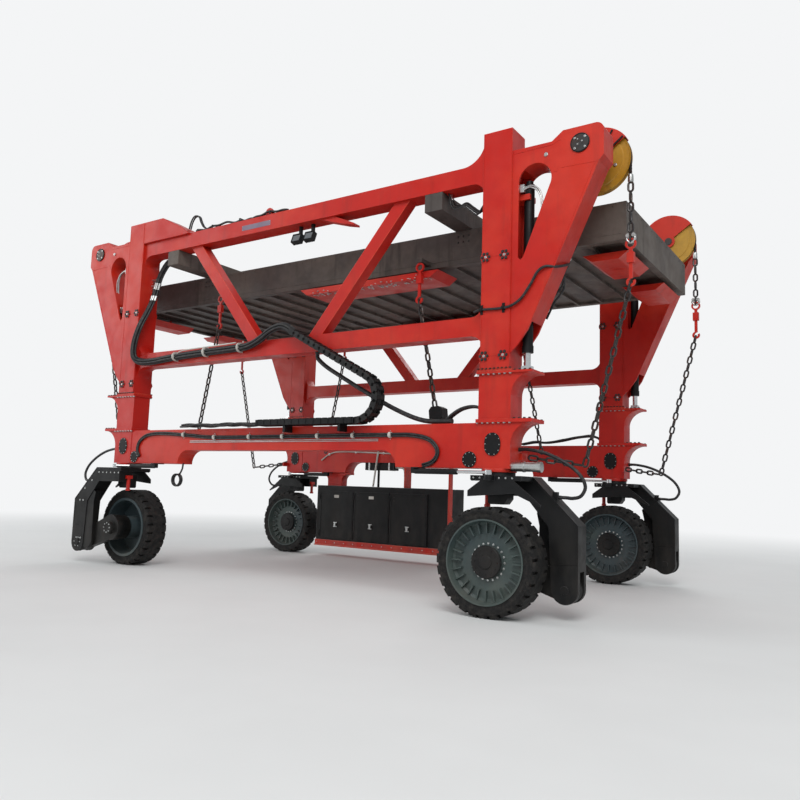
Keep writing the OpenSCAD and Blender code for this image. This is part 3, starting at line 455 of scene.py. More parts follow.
def bolt_head(size: float) -> Part:
    """A hexagon head on its washer, standing on Z 0: six-sided rings by radius and height.

    Args:
        size: the bolt's diameter, which every radius and height is a share of.

    Returns:
        The head's points and faces.
    """
    radii = np.array([1.15, 1.15, 0.9, 0.9, 0.75])
    heights = np.array([0.0, 0.15, 0.15, 0.62, 0.75])
    turn = np.arange(6) * math.pi / 3
    x = radii[:, None] * np.cos(turn) * size
    y = radii[:, None] * np.sin(turn) * size
    z = np.broadcast_to(heights[:, None] * size, x.shape)
    points = np.stack([x, y, z], axis=2).reshape(-1, 3)
    return points, [grid_faces(5, 6), np.array([24 + np.arange(6)])]


def new_object(name: str, data: bpy.types.ID) -> Piece:
    """Adds an object that shows a mesh, light or camera.

    Args:
        name: its name.
        data: its data.

    Returns:
        The object.
    """
    thing = bpy.data.objects.new(name, data)
    bpy.context.scene.collection.objects.link(thing)
    return thing


def break_edges(piece: Piece, width: float, degrees: float) -> bpy.types.Modifier:
    """Rounds the edges where a piece's faces meet at more than an angle.

    Args:
        piece: the object.
        width: width of the rounding.
        degrees: the angle.

    Returns:
        The modifier that does it.
    """
    broken = piece.modifiers.new("broken edges", "BEVEL")
    broken.width = width
    broken.segments = 2
    broken.limit_method = "ANGLE"
    broken.angle_limit = math.radians(degrees)
    broken.harden_normals = True
    return broken


@dataclass(frozen=True)
class Bend:
    """Two bodies that a flexible piece runs between, and where its bending starts and ends."""

    first: str
    second: str
    start: Triple
    end: Triple


class Sculpt:
    """Collects parts, then makes one object of them."""

    def __init__(self) -> None:
        """Starts with nothing in it."""
        self._points: list[np.ndarray] = []
        self._faces: list[np.ndarray] = []
        self._count = 0

    def add(self, part: Part, place: Matrix | None = None) -> "Sculpt":
        """Adds a part.

        Args:
            part: its points and faces.
            place: where it goes, or None where it is already in place.

        Returns:
            This collection.
        """
        points, faces = moved(part, place) if place is not None else part
        self._faces += [f + self._count for f in faces]
        self._points.append(points)
        self._count += len(points)
        return self

    def add_all(self, parts: Sequence[Part], place: Matrix | None = None) -> "Sculpt":
        """Adds several parts, all by the same placement.

        Args:
            parts: the parts.
            place: where they go, or None.

        Returns:
            This collection.
        """
        for part in parts:
            self.add(part, place)
        return self

    def weld(self, points: Vecs, radius: float, place: Matrix | None = None) -> "Sculpt":
        """Adds a weld bead that is nowhere straight along Y."""
        return self.add(weld(points, radius=radius), place)

    def bolts(self, points: Points, normal: Vec, size: float, place: Matrix | None = None) -> "Sculpt":
        """Adds bolt heads that stand on a face.

        Args:
            points: where they stand.
            normal: the face's normal.
            size: the bolts' diameter.
            place: where all of it goes, or None where it is already in place.

        Returns:
            This collection.
        """
        return self.add(copies(bolt_head(size), facing(points, normal)), place)

    def make(self, name: str, finish: "Finish", body: str | Bend, bevel: float = 0.0) -> Piece:
        """Turns the collection into an object that rides on a body, or that stays where it is, with no
        body, when given a bend between two.

        Args:
            name: the object's name.
            finish: its finish.
            body: the body that it rides on, or the bend between two.
            bevel: width of its broken edges, or 0 for none.

        Returns:
            The new object.
        """
        mesh = bpy.data.meshes.new(name)
        faces = [row for block in self._faces for row in block.tolist()]
        mesh.from_pydata(np.vstack(self._points), [], faces)
        work = bmesh.new()
        work.from_mesh(mesh)
        bmesh.ops.recalc_face_normals(work, faces=work.faces)
        work.to_mesh(mesh)
        work.free()
        mesh.shade_smooth()
        mesh.set_sharp_from_angle(angle=math.radians(SMOOTH_BELOW))
        piece = new_object(name, mesh)
        if bevel:
            break_edges(piece, bevel, BREAK_ABOVE)
        mesh.materials.append(finish.material())
        if isinstance(body, Bend):
            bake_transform(piece)
        else:
            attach(piece, body)
        return piece


def sculpts(count: int) -> list[Sculpt]:
    """Several empty collections."""
    return [Sculpt() for _ in range(count)]


# Finishes


def srgb(code: str) -> tuple[float, float, float, float]:
    """Linear colour of an sRGB hex code such as "#c4281d".

    A dark level is divided by 12.92. Any other is, with 0.055 added, divided by 1.055 and raised
    to the power of 2.4.

    Args:
        code: the hex code.

    Returns:
        Red, green, blue and an alpha of 1.
    """
    levels = np.array([int(code[i : i + 2], 16) / 255 for i in (1, 3, 5)])
    linear = np.where(levels <= 0.04045, levels / 12.92, ((levels + 0.055) / 1.055) ** 2.4)
    return (*linear.tolist(), 1.0)


def per_mm(size_mm: float) -> float:
    """Scale of a pattern, in metres, whose features are about size_mm across."""
    return 1000.0 / size_mm


class Shader:
    """A new material and the short calls that fill its node tree."""

    def __init__(self, name: str) -> None:
        """Makes the material with its Principled shader and object coordinates.

        Args:
            name: the material's name.
        """
        self.material = bpy.data.materials.new(name)
        self.material.use_nodes = True
        self.tree = self.material.node_tree
        self.surface = self.tree.nodes["Principled BSDF"]
        self.where = self.node("ShaderNodeTexCoord").outputs["Object"]

    def node(self, kind: str, settings: dict | None = None, **inputs: Feed) -> bpy.types.Node:
        """Adds one node.

        Args:
            kind: the node's type.
            settings: its own properties.
            inputs: a socket to link or a value to set, by input name with underscores for spaces.

        Returns:
            The node.
        """
        node = self.tree.nodes.new(kind)
        for key, value in (settings or {}).items():
            setattr(node, key, value)
        for key, value in inputs.items():
            self.feed(node.inputs[key.replace("_", " ")], value)
        return node

    def feed(self, socket: Socket, value: Feed) -> None:
        """Links an output into an input, or sets the input's value.

        Args:
            socket: the input.
            value: an output, a number, a vector or a colour's hex code.
        """
        if isinstance(value, Socket):
            self.tree.links.new(value, socket)
        else:
            socket.default_value = srgb(value) if isinstance(value, str) else value

    def set(self, **inputs: Feed) -> None:
        """Feeds the Principled shader's inputs, by name with underscores for spaces."""
        for key, value in inputs.items():
            self.feed(self.surface.inputs[key.replace("_", " ")], value)

    def noise(
        self, size_mm: float, detail: float = 4.0, stretch: Vec = (1, 1, 1), offset: float = 0.0
    ) -> Socket:
        """Cloudy noise from 0 to 1.

        Args:
            size_mm: rough size of its features.
            detail: how many finer layers it has.
            stretch: the features are drawn out along an axis whose number is under 1.
            offset: shift that gives each layer clouds of its own, in metres.

        Returns:
            Its value.
        """
        spot = self.node("ShaderNodeMapping", Vector=self.where, Scale=stretch, Location=(offset,) * 3)
        return self.node(
            "ShaderNodeTexNoise",
            Vector=spot.outputs["Vector"],
            Scale=per_mm(size_mm),
            Detail=detail,
            Roughness=0.6,
        ).outputs["Fac"]

    def ramp(
        self, value: Feed, low: float, high: float, start: float = 0.0, end: float = 1.0
    ) -> Socket:
        """A smooth step.

        Args:
            value: what it reads.
            low: where the step starts.
            high: where it ends.
            start: its value below low.
            end: its value above high.

        Returns:
            Its value.
        """
        return self.node(
            "ShaderNodeMapRange",
            {"interpolation_type": "SMOOTHSTEP"},
            Value=value,
            From_Min=low,
            From_Max=high,
            To_Min=start,
            To_Max=end,
        ).outputs["Result"]

    def times(self, a: Feed, b: Feed) -> Socket:
        """The product of two numbers.

        Args:
            a: one number.
            b: the other.

        Returns:
            The product.
        """
        node = self.node("ShaderNodeMath", {"operation": "MULTIPLY"})
        self.feed(node.inputs[0], a)
        self.feed(node.inputs[1], b)
        return node.outputs[0]

    def mix(self, share: Feed, a: Feed, b: Feed) -> Socket:
        """Colour a turning into colour b as share goes from 0 to 1.

        Args:
            share: how much of b there is.
            a: one colour.
            b: the other.

        Returns:
            The mixed colour.
        """
        node = self.node("ShaderNodeMix", {"data_type": "RGBA"})
        for socket, value in zip((node.inputs[0], node.inputs[6], node.inputs[7]), (share, a, b)):
            self.feed(socket, value)
        return node.outputs[2]

    def height(self) -> Socket:
        """Height above the ground in metres."""
        return self.node("ShaderNodeSeparateXYZ", Vector=self.where).outputs["Z"]

    def facing_up(self) -> Socket:
        """How far a surface faces up, from -1 to 1."""
        normal = self.node("ShaderNodeNewGeometry").outputs["Normal"]
        return self.node("ShaderNodeSeparateXYZ", Vector=normal).outputs["Z"]

    def bumps(self, *layers: tuple[Feed, float]) -> None:
        """Feeds the normal from layers of (height, depth in millimetres)."""
        normal = None
        for value, depth_mm in layers:
            bump = self.node("ShaderNodeBump", Height=value, Distance=depth_mm / 1000)
            if normal is not None:
                self.feed(bump.inputs["Normal"], normal)
            normal = bump.outputs["Normal"]
        self.set(Normal=normal)


@dataclass(frozen=True)
class Finish:
    """A surface finish. Its material is made once, at its first use."""

    name: str
    slot: Slot

    def material(self) -> bpy.types.Material:
        """The finish's material."""
        found = bpy.data.materials.get(self.name)
        if found is not None:
            return found
        shader = Shader(self.name)
        self.build(shader)
        return shader.material

    def build(self, shader: Shader) -> None:
        """Fills the shader."""
        raise NotImplementedError


@dataclass(frozen=True)
class Enamel(Finish):
    """Sprayed enamel on steel plate, out of doors for years.

    Broad patches have bleached, rain has drawn dirt down the sides, dust lies on what faces up and
    near the ground, and small chips show the primer.
    """

    colour: str
    bleached: str
    dirt: str = "#4b3f36"
    chip: str = "#3a2a24"
    roughness: float = 0.42
    grime: float = 0.25
    dusty_height: float = 2.6
    dust: float = 0.3
    shine: float = 0.35
    patch_mm: float = 1900
    cloud_mm: float = 160
    streak_mm: float = 260
    film_mm: float = 380
    settled_mm: float = 300
    chip_mm: float = 28
    gloss_mm: float = 420
    wave_mm: float = 700
    peel_mm: float = 9
    road_dust: str = "#7d746a"
    settled_dust: str = "#7b7166"

    def build(self, shader: Shader) -> None:
        """Layers bleaching, clouds of dirt, streaks, road dust, settled dust and chips.

        Args:
            shader: the new material's shader.
        """
        patches = shader.ramp(shader.noise(self.patch_mm, 5), 0.42, 0.62)
        paint = shader.mix(patches, self.colour, self.bleached)
        cloud = shader.noise(self.cloud_mm, 6, offset=3.0)
        paint = shader.mix(shader.ramp(cloud, 0.3, 0.75, 0.0, self.grime * 0.4), paint, self.dirt)
        streak = shader.ramp(shader.noise(self.streak_mm, 5, (1, 1, 0.09)), 0.52, 0.72)
        paint = shader.mix(shader.times(streak, self.grime), paint, self.dirt)
        low = shader.ramp(shader.height(), 0.1, self.dusty_height, 1.0, 0.0)
        film = shader.ramp(shader.noise(self.film_mm, 5, (1, 1, 0.4), offset=7.0), 0.3, 0.72)
        sprayed = shader.times(shader.times(low, film), self.dust)
        paint = shader.mix(sprayed, paint, self.road_dust)
        settled = shader.ramp(shader.noise(self.settled_mm, 5), 0.35, 0.7)
        lying = shader.times(shader.ramp(shader.facing_up(), 0.6, 0.95), settled)
        paint = shader.mix(shader.times(lying, self.dust), paint, self.settled_dust)
        chips = shader.ramp(shader.noise(self.chip_mm, 3, offset=11.0), 0.715, 0.735)
        paint = shader.mix(shader.times(chips, 0.8), paint, self.chip)
        dull, rough = self.roughness - 0.07, self.roughness + 0.16
        shader.set(
            Base_Color=paint,
            Roughness=shader.ramp(shader.noise(self.gloss_mm, 4), 0.3, 0.7, dull, rough),
            Specular_IOR_Level=self.shine,
            Coat_Weight=0.06,
            Coat_Roughness=0.2,
        )
        shader.bumps((shader.noise(self.wave_mm, 2), 2.5), (shader.noise(self.peel_mm, 2), 0.12))


@dataclass(frozen=True)
class BareMetal(Finish):
    """Steel without paint: drawn along the machine's height, stained, with fine scratches."""

    colour: str
    stain: str
    roughness: float = 0.3
    stained: float = 0.4
    grain: Triple = (1, 1, 0.05)
    stain_mm: float = 240
    spot_mm: float = 22
    scratch_mm: float = 6

    def build(self, shader: Shader) -> None:
        """Layers stains and drawn scratches over the metal.

        Args:
            shader: the new material's shader.
        """
        stains = shader.ramp(shader.noise(self.stain_mm, 6), 0.45, 0.72, 0.0, self.stained)
        spots = shader.noise(self.spot_mm, 4, offset=5.0)
        spots = shader.ramp(spots, 0.55, 0.75, 0.0, self.stained * 0.8)
        metal = shader.mix(stains, self.colour, self.stain)
        metal = shader.mix(spots, metal, self.stain)
        scratches = shader.noise(self.scratch_mm, 3, self.grain)
        shader.set(
            Base_Color=metal,
            Metallic=1.0,
            Roughness=shader.ramp(scratches, 0.3, 0.7, self.roughness - 0.06, self.roughness + 0.14),
        )
        shader.bumps((scratches, 0.08))


@dataclass(frozen=True)
class RubberFinish(Finish):
    """Black rubber with road dust rubbed into it and a fine skin."""

    colour: str = "#1d1d1e"
    dust: str = "#6d655b"
    dusty: float = 0.45
    skin_mm: float = 14.0
    skin_depth: float = 0.8
    roughness: float = 0.72

    def build(self, shader: Shader) -> None:
        """Lays dust over the rubber and gives it its skin.

        Args:
            shader: the new material's shader.
        """
        dust = shader.ramp(shader.noise(130, 7), 0.4, 0.72, 0.0, self.dusty)
        rub = shader.ramp(shader.noise(30, 5, offset=2.0), 0.4, 0.7, 0.0, self.dusty * 0.5)
        rubber = shader.mix(dust, self.colour, self.dust)
        dull, rough = self.roughness - 0.08, self.roughness + 0.12
        shader.set(
            Base_Color=shader.mix(rub, rubber, self.dust),
            Specular_IOR_Level=0.3,
            Roughness=shader.ramp(shader.noise(60, 4), 0.3, 0.7, dull, rough),
        )
        shader.bumps((shader.noise(self.skin_mm, 3), self.skin_depth))


@dataclass(frozen=True)
class RibbedHose(Finish):
    """Black wire-wound hose: fine rings along it that catch the light."""

    colour: str = "#17171a"
    ring_mm: float = 16.0

    def build(self, shader: Shader) -> None:
        """Gives the rubber its rings and a little dust.

        Args:
            shader: the new material's shader.
        """
        rings = shader.node(
            "ShaderNodeTexWave",
            {"wave_type": "BANDS", "bands_direction": "DIAGONAL"},
            Vector=shader.where,
            Scale=per_mm(self.ring_mm) / 20,
            Distortion=0.4,
        ).outputs["Fac"]
        dust = shader.ramp(shader.noise(70, 5), 0.45, 0.75, 0.0, 0.4)
        shader.set(
            Base_Color=shader.mix(dust, self.colour, "#57534d"),
            Roughness=shader.ramp(shader.noise(90, 3), 0.3, 0.7, 0.45, 0.62),
        )
        shader.bumps((rings, 1.2), (shader.noise(5, 2), 0.1))


@dataclass(frozen=True)
class LampGlass(Finish):
    """Pressed lamp glass over a bright bowl, a little dusty."""

    def build(self, shader: Shader) -> None:
        """Gives the glass its flutes and dust.

        Args:
            shader: the new material's shader.
        """
        flutes = shader.noise(18, 1, (1, 1, 0.1))
        dust = shader.ramp(shader.noise(40, 5), 0.4, 0.75, 0.0, 0.5)
        shader.set(
            Base_Color=shader.mix(dust, "#565b60", "#6e695f"),
            Roughness=0.2,
            Metallic=0.2,
            Coat_Weight=1.0,
        )
        shader.bumps((flutes, 1.5))


# The machine's own finishes, with what each gives the eye

# Fire red, bleached towards orange on the sunny plates.
RED = Enamel(
    "red enamel", Slot.RED, "#b81507", "#c22a17", "#4a211a", "#5a2a20", roughness=0.4, grime=0.2
)
# Painted highlight: a lighter red laid on the broken edges of the red plates, where they catch the
# light.
RED_EDGE_HIGHLIGHT = Enamel(
    "rubbed red edge", Slot.RED, "#d2402c", "#c8503c", "#6b3a30", "#8a8079", roughness=0.35, grime=0.2
)
# Satin black on what is near the road, greyed by dust.
BLACK = Enamel(
    "black enamel", Slot.BLACK, "#0c0d0e", "#131416", "#26231f", "#333130",
    roughness=0.48, grime=0.2, dusty_height=2.4, dust=0.10, shine=0.22,
)
# Painted highlight: a pale grey laid on the broken edges of the black plates, where they catch the
# light.
BLACK_EDGE_HIGHLIGHT = Enamel(
    "rubbed black edge", Slot.BLACK, "#4c4d50", "#5d5e60", "#3a3633", "#77756f", roughness=0.4, grime=0.2
)
# Deep brown-grey, streaked by rust from the deck's edges.
PLATFORM = Enamel(
    "platform paint", Slot.GREY, "#4a4340", "#615851", "#2d2622", "#7a4a2c",
    roughness=0.62, grime=0.65, dusty_height=0.5,
)
# Dull grey-green wheel paint with mud in its corners.
WHEEL = Enamel(
    "wheel paint", Slot.WHEEL, "#364347", "#46524f", "#2b2722", "#555450",
    roughness=0.48, grime=0.3, dusty_height=1.3, dust=0.2,
)
# Ochre yellow sheave paint, rubbed bare where the rope runs.
YELLOW = Enamel(
    "yellow enamel", Slot.YELLOW, "#ab7a14", "#b98d33", "#3d3427", "#4e4238", roughness=0.45, grime=0.4
)
# White-grey enamel of pipes, clips and marks.
PALE = Enamel(
    "pale enamel", Slot.GREY, "#b9b7b0", "#cdcbc4", "#6e665b", "#6f6a62", roughness=0.5, grime=0.3
)
# Grey-violet enamel of the blank plate.
PLATE = Enamel(
    "grey plate enamel", Slot.GREY, "#77697a", "#877c88", "#5e5355", "#6f6a62", roughness=0.45, grime=0.3
)
# Grey cast iron of the engine.
IRON = Enamel(
    "engine grey", Slot.ENGINE, "#63676b", "#7c8084", "#2c2724", "#4a3f38",
    roughness=0.55, grime=0.5, dusty_height=1.5,
)
# Planed steel of the masts: cool, bright, with oil stains.
MAST = BareMetal("planed steel", Slot.MACHINED, "#9fa2a4", "#5b5a57", roughness=0.34, stained=0.5)
# Hard chrome of the rods: the brightest thing on the machine, and the smoothest.
CHROME = BareMetal("hard chrome", Slot.CHROME, "#dfe1e2", "#a9a9a6", roughness=0.12, stained=0.25)
# Oiled rope and chain steel, nearly black, with dry rust on its high spots.
OILED = BareMetal("oiled steel", Slot.DARK, "#4c4b4b", "#5a3b28", 0.42, 0.6, grain=(1, 1, 1))
# Bright zinc of bolts, fittings and spare chain.
ZINC = BareMetal("zinc plate", Slot.MACHINED, "#c6c8c7", "#7f7a70", 0.32, 0.4, grain=(1, 1, 1))
# Solid tyre rubber, grey with road dust.
TYRE = RubberFinish("tyre rubber", Slot.TYRE, "#101011", "#4a453f", dusty=0.28)
# Ribbed cover of the hoses: black, with rings that glint.
HOSE = RibbedHose("hose cover", Slot.HOSE)
# Moulded polyamide of the energy chain: black and half matt, with a fine grain.
PLASTIC = RubberFinish(
    "moulded plastic", Slot.HOSE, "#141416", "#4d4a45", 0.2, skin_mm=9.0, skin_depth=0.25, roughness=0.5
)
# Lamp glass: grey and glossy with nothing lit behind it.
GLASS = LampGlass("lamp glass", Slot.MACHINED)


# Camera, light and floor


@dataclass(frozen=True)
class Studio:
    """Camera at the photograph's viewing angle, soft light and a pale floor."""

    place: Triple = (10.711, -14.786, 2.089)
    heading: float = 33.779
    pitch: float = 6.583
    roll: float = 1.852
    focal_mm: float = 33.67
    sensor_mm: float = 36.0
    far_clip: float = 400.0
    floor_half: float = 90.0
    floor_fade: Pair = (12.0, 34.0)
    backdrop: str = "#f4f5f6"
    sky: str = "#eef1f4"
    sky_strength: float = 0.62
    aim: Triple = (0, 0, 4)
    lamps: tuple[tuple[str, Triple, float, float], ...] = (
        ("key light", (14, -22, 24), 16, 5200),
        ("fill light", (-24, -14, 12), 18, 1900),
        ("back light", (-6, 26, 20), 18, 2600),
    )

    def camera(self) -> None:
        """Adds the scene's camera."""
        data = bpy.data.cameras.new("camera")
        data.sensor_width = self.sensor_mm
        data.lens = self.focal_mm
        data.clip_end = self.far_clip
        camera = new_object("camera", data)
        turn = turned(self.heading, "Z") @ turned(90 + self.pitch, "X") @ turned(self.roll, "Z")
        camera.matrix_world = Matrix.Translation(self.place) @ turn
        bpy.context.scene.camera = camera

    def area(self, name: str, place: Vec, size: float, watts: float) -> None:
        """Adds one square area light that faces the middle of the machine.

        Args:
            name: the light's name.
            place: where it stands.
            size: length of its side.
            watts: its power.
        """
        data = bpy.data.lights.new(name, "AREA")
        data.size = size
        data.energy = watts
        lamp = new_object(name, data)
        away = np.asarray(place, float) - np.asarray(self.aim, float)
        lamp.matrix_world = Matrix(facing([place], away)[0].tolist())

    def lights(self) -> None:
        """Adds the key, fill and back lights and the pale world."""
        for lamp in self.lamps:
            self.area(*lamp)
        world = bpy.data.worlds.new("pale world")
        world.use_nodes = True
        bpy.context.scene.world = world
        tree = world.node_tree
        glow = tree.nodes["Background"]
        glow.inputs["Color"].default_value = srgb(self.sky)
        glow.inputs["Strength"].default_value = self.sky_strength
        seen = tree.nodes.new("ShaderNodeBackground")
        seen.inputs["Color"].default_value = srgb(self.backdrop)
        path = tree.nodes.new("ShaderNodeLightPath")
        both = tree.nodes.new("ShaderNodeMixShader")
        tree.links.new(path.outputs["Is Camera Ray"], both.inputs[0])
        tree.links.new(glow.outputs[0], both.inputs[1])
        tree.links.new(seen.outputs[0], both.inputs[2])
        tree.links.new(both.outputs[0], tree.nodes["World Output"].inputs["Surface"])

    def floor(self) -> None:
        """Adds the floor, which fades into the background and isn't part of the machine."""
        half = self.floor_half
        mesh = bpy.data.meshes.new("floor")
        corners = [(-half, -half, 0), (half, -half, 0), (half, half, 0), (-half, half, 0)]
        mesh.from_pydata(corners, [], [(0, 1, 2, 3)])
        shader = Shader("pale floor")
        soft = shader.ramp(shader.noise(2600, 3), 0.3, 0.7)
        shader.set(Base_Color=shader.mix(soft, "#dadbda", "#d7d8d7"), Roughness=0.85)
        reach = shader.node("ShaderNodeVectorMath", {"operation": "LENGTH"})
        shader.feed(reach.inputs[0], shader.where)
        away = shader.ramp(reach.outputs["Value"], *self.floor_fade)
        seen = shader.times(away, shader.node("ShaderNodeLightPath").outputs["Is Camera Ray"])
        pale = shader.node("ShaderNodeEmission", Color=self.backdrop)
        both = shader.node("ShaderNodeMixShader", Fac=seen)
        shader.feed(both.inputs[1], shader.surface.outputs[0])
        shader.feed(both.inputs[2], pale.outputs[0])
        shader.feed(shader.tree.nodes["Material Output"].inputs["Surface"], both.outputs[0])
        mesh.materials.append(shader.material)
        floor = new_object("floor", mesh)

    def build(self) -> None:
        """Adds all of it and sets the colour view."""
        self.camera()
        self.lights()
        self.floor()
        bpy.context.scene.view_settings.view_transform = "Standard"


# Hoses that hang free


@dataclass(frozen=True)
class FreeHose:
    """A hose that hangs between two bodies along given points."""

    name: str
    node: str
    points: tuple[Triple, ...]
    place: Matrix
    diameter: float
    bend: Bend
    steps: int = 6
    sides: int = 14
    collar: float = 0.16
    collar_share: float = 0.04

    def build(self) -> None:
        path = moved((smooth_route(self.points, self.steps), []), self.place)[0]
        rings = np.linspace(0, 1, len(path))
        ends = (rings < self.collar_share) | (rings > 1 - self.collar_share)
        radius = self.diameter / 2 * (1 + self.collar * ends) * 0.98
        piece = Sculpt().add(tube(path, radius, self.sides)).make(self.name, HOSE, self.bend)
        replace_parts(piece, self.node)


SLACK_POINTS = (
    (0.900, -3.2, 4.757), (0.900, -3.2, 4.690), (0.930, -3.2, 4.610), (1.150, -3.2, 4.440),
    (1.500, -3.2, 4.240), (2.200, -3.2, 3.860), (2.900, -3.2, 3.510), (3.500, -3.2, 3.300),
    (4.100, -3.2, 3.272),
)
KNUCKLE_HOSE_POINTS = (
    (0.306, 0.125, 2.780), (0.480, 0.125, 2.780), (0.780, 0.130, 2.720), (1.080, 0.150, 2.590),
    (1.340, 0.175, 2.400), (1.450, 0.205, 2.190), (1.370, 0.240, 2.030), (1.230, 0.262, 1.985),
    (1.100, 0.265, 1.990), (0.966, 0.265, 1.990),
)


def free_hoses() -> list[FreeHose]:
    """The slack hose of the near side and the hose loop of each knuckle.

    Returns:
        The hoses, not yet built.
    """
    bend = Bend(Body.NEAR, Body.UPPER, (0.9, -3.2, 3.35), (0.9, -3.2, 4.70))
    here = Matrix.Identity(4)
    hoses = [FreeHose("slack_hose_cover", "slack_hose", SLACK_POINTS, here, 0.09, bend)]
    for corner in CORNERS:
        place = corner.kingpin()
        start = tuple(place @ Matrix.Translation((0.9, 0.2, 2.75)).to_translation())
        end = tuple(place @ Matrix.Translation((0.9, 0.2, 2.05)).to_translation())
        bend = Bend(corner.side_body, f"knuckle_{corner.name}", start, end)
        node = f"knuckle_hose_{corner.name}"
        hoses.append(FreeHose(f"{node}_cover", node, KNUCKLE_HOSE_POINTS, place, 0.06, bend))
    return hoses


# Steel parts shared by the assemblies

# Metres between two points of a weld bead.
WELD_PASS = 0.03


def bundle(route: Points, places: Sequence[Pair], radius: float) -> Part:
    """Hoses side by side along one route.

    Each follows the route moved by (a, b): a along the route's normal in the XZ plane, b along Y.

    Args:
        route: the bundle's centre line, never straight along Y.
        places: where each hose lies across the bundle.
        radius: of one hose.

    Returns:
        All hoses as one part.
    """
    along = np.gradient(route, axis=0)
    out = unit(np.cross(along, AXIS_Y))
    parts = [tube(route + a * out + np.array([0.0, b, 0.0]), radius, 10) for a, b in places]
    counts = np.cumsum([0] + [len(points) for points, _ in parts])
    faces = [block + count for part, count in zip(parts, counts) for block in part[1]]
    return np.vstack([points for points, _ in parts]), faces


def weld(points: Vecs, across: Vec = AXIS_Y, radius: float = 0.007) -> Part:
    """A weld bead: a thin tube whose radius swells by a sine of the step's number.

    Args:
        points: the corners of the seam, joined by straight stretches.
        across: a direction that the seam never takes.
        radius: of the bead.

    Returns:
        The bead as one part.
    """
    ends = np.asarray(points, float)
    runs = [
        between(a, b, max(2, int(np.linalg.norm(b - a) / WELD_PASS)))
        for a, b in zip(ends[:-1], ends[1:])
    ]
    path = np.vstack([run[:-1] for run in runs] + [ends[-1:]])
    swell = 1 + 0.22 * np.sin(np.arange(len(path)) * 2.4)
    return tube(path, radius * swell, 6, across)


def plate_bolts(outline: Points, inset: float, y: float, count: int) -> Points:
    """Bolt places along a plate's edge: the outline drawn in towards its middle by a fixed length.

    Args:
        outline: the plate's corners in X and Z.
        inset: how far in from the edge the bolts stand.
        y: the face that they stand on.
        count: how many.

    Returns:
        The points.
    """
    middle = outline.mean(axis=0)
    ring = np.vstack([outline, outline[:1]])
    away = ring - middle
    ring = middle + away * (1 - inset / np.linalg.norm(away, axis=1, keepdims=True))
    along = distances(ring)
    spots = (np.arange(count) + 0.5) / count * along[-1]
    x = np.interp(spots, along, ring[:, 0])
    z = np.interp(spots, along, ring[:, 1])
    return np.stack([x, np.full(count, y), z], axis=1)


def hose_clip(centre: Vec, radius: float, width: float = 0.05) -> Part:
    """A saddle clip round a hose that runs along X: a half circle open to +Y, with two feet.

    Args:
        centre: the hose's centre at the clip.
        radius: of the hose.
        width: of the clip along the hose.

    Returns:
        The clip as one part.
    """
    outer, foot, back = radius + 0.012, radius + 0.004, radius - 0.008
    tip = outer + 0.05
    turn = np.linspace(-math.pi / 2, math.pi / 2, 9)
    arc = np.stack([-outer * np.cos(turn), outer * np.sin(turn)], axis=1)
    below = [[back, -tip], [foot, -tip], [foot, -outer]]
    above = [[foot, outer], [foot, tip], [back, tip]]
    loop = np.vstack([below, arc, above]) + np.array([centre[1], centre[2]])
    return prism(loop, centre[0] - width / 2, centre[0] + width / 2, Plane.YZ)


# Lower frames


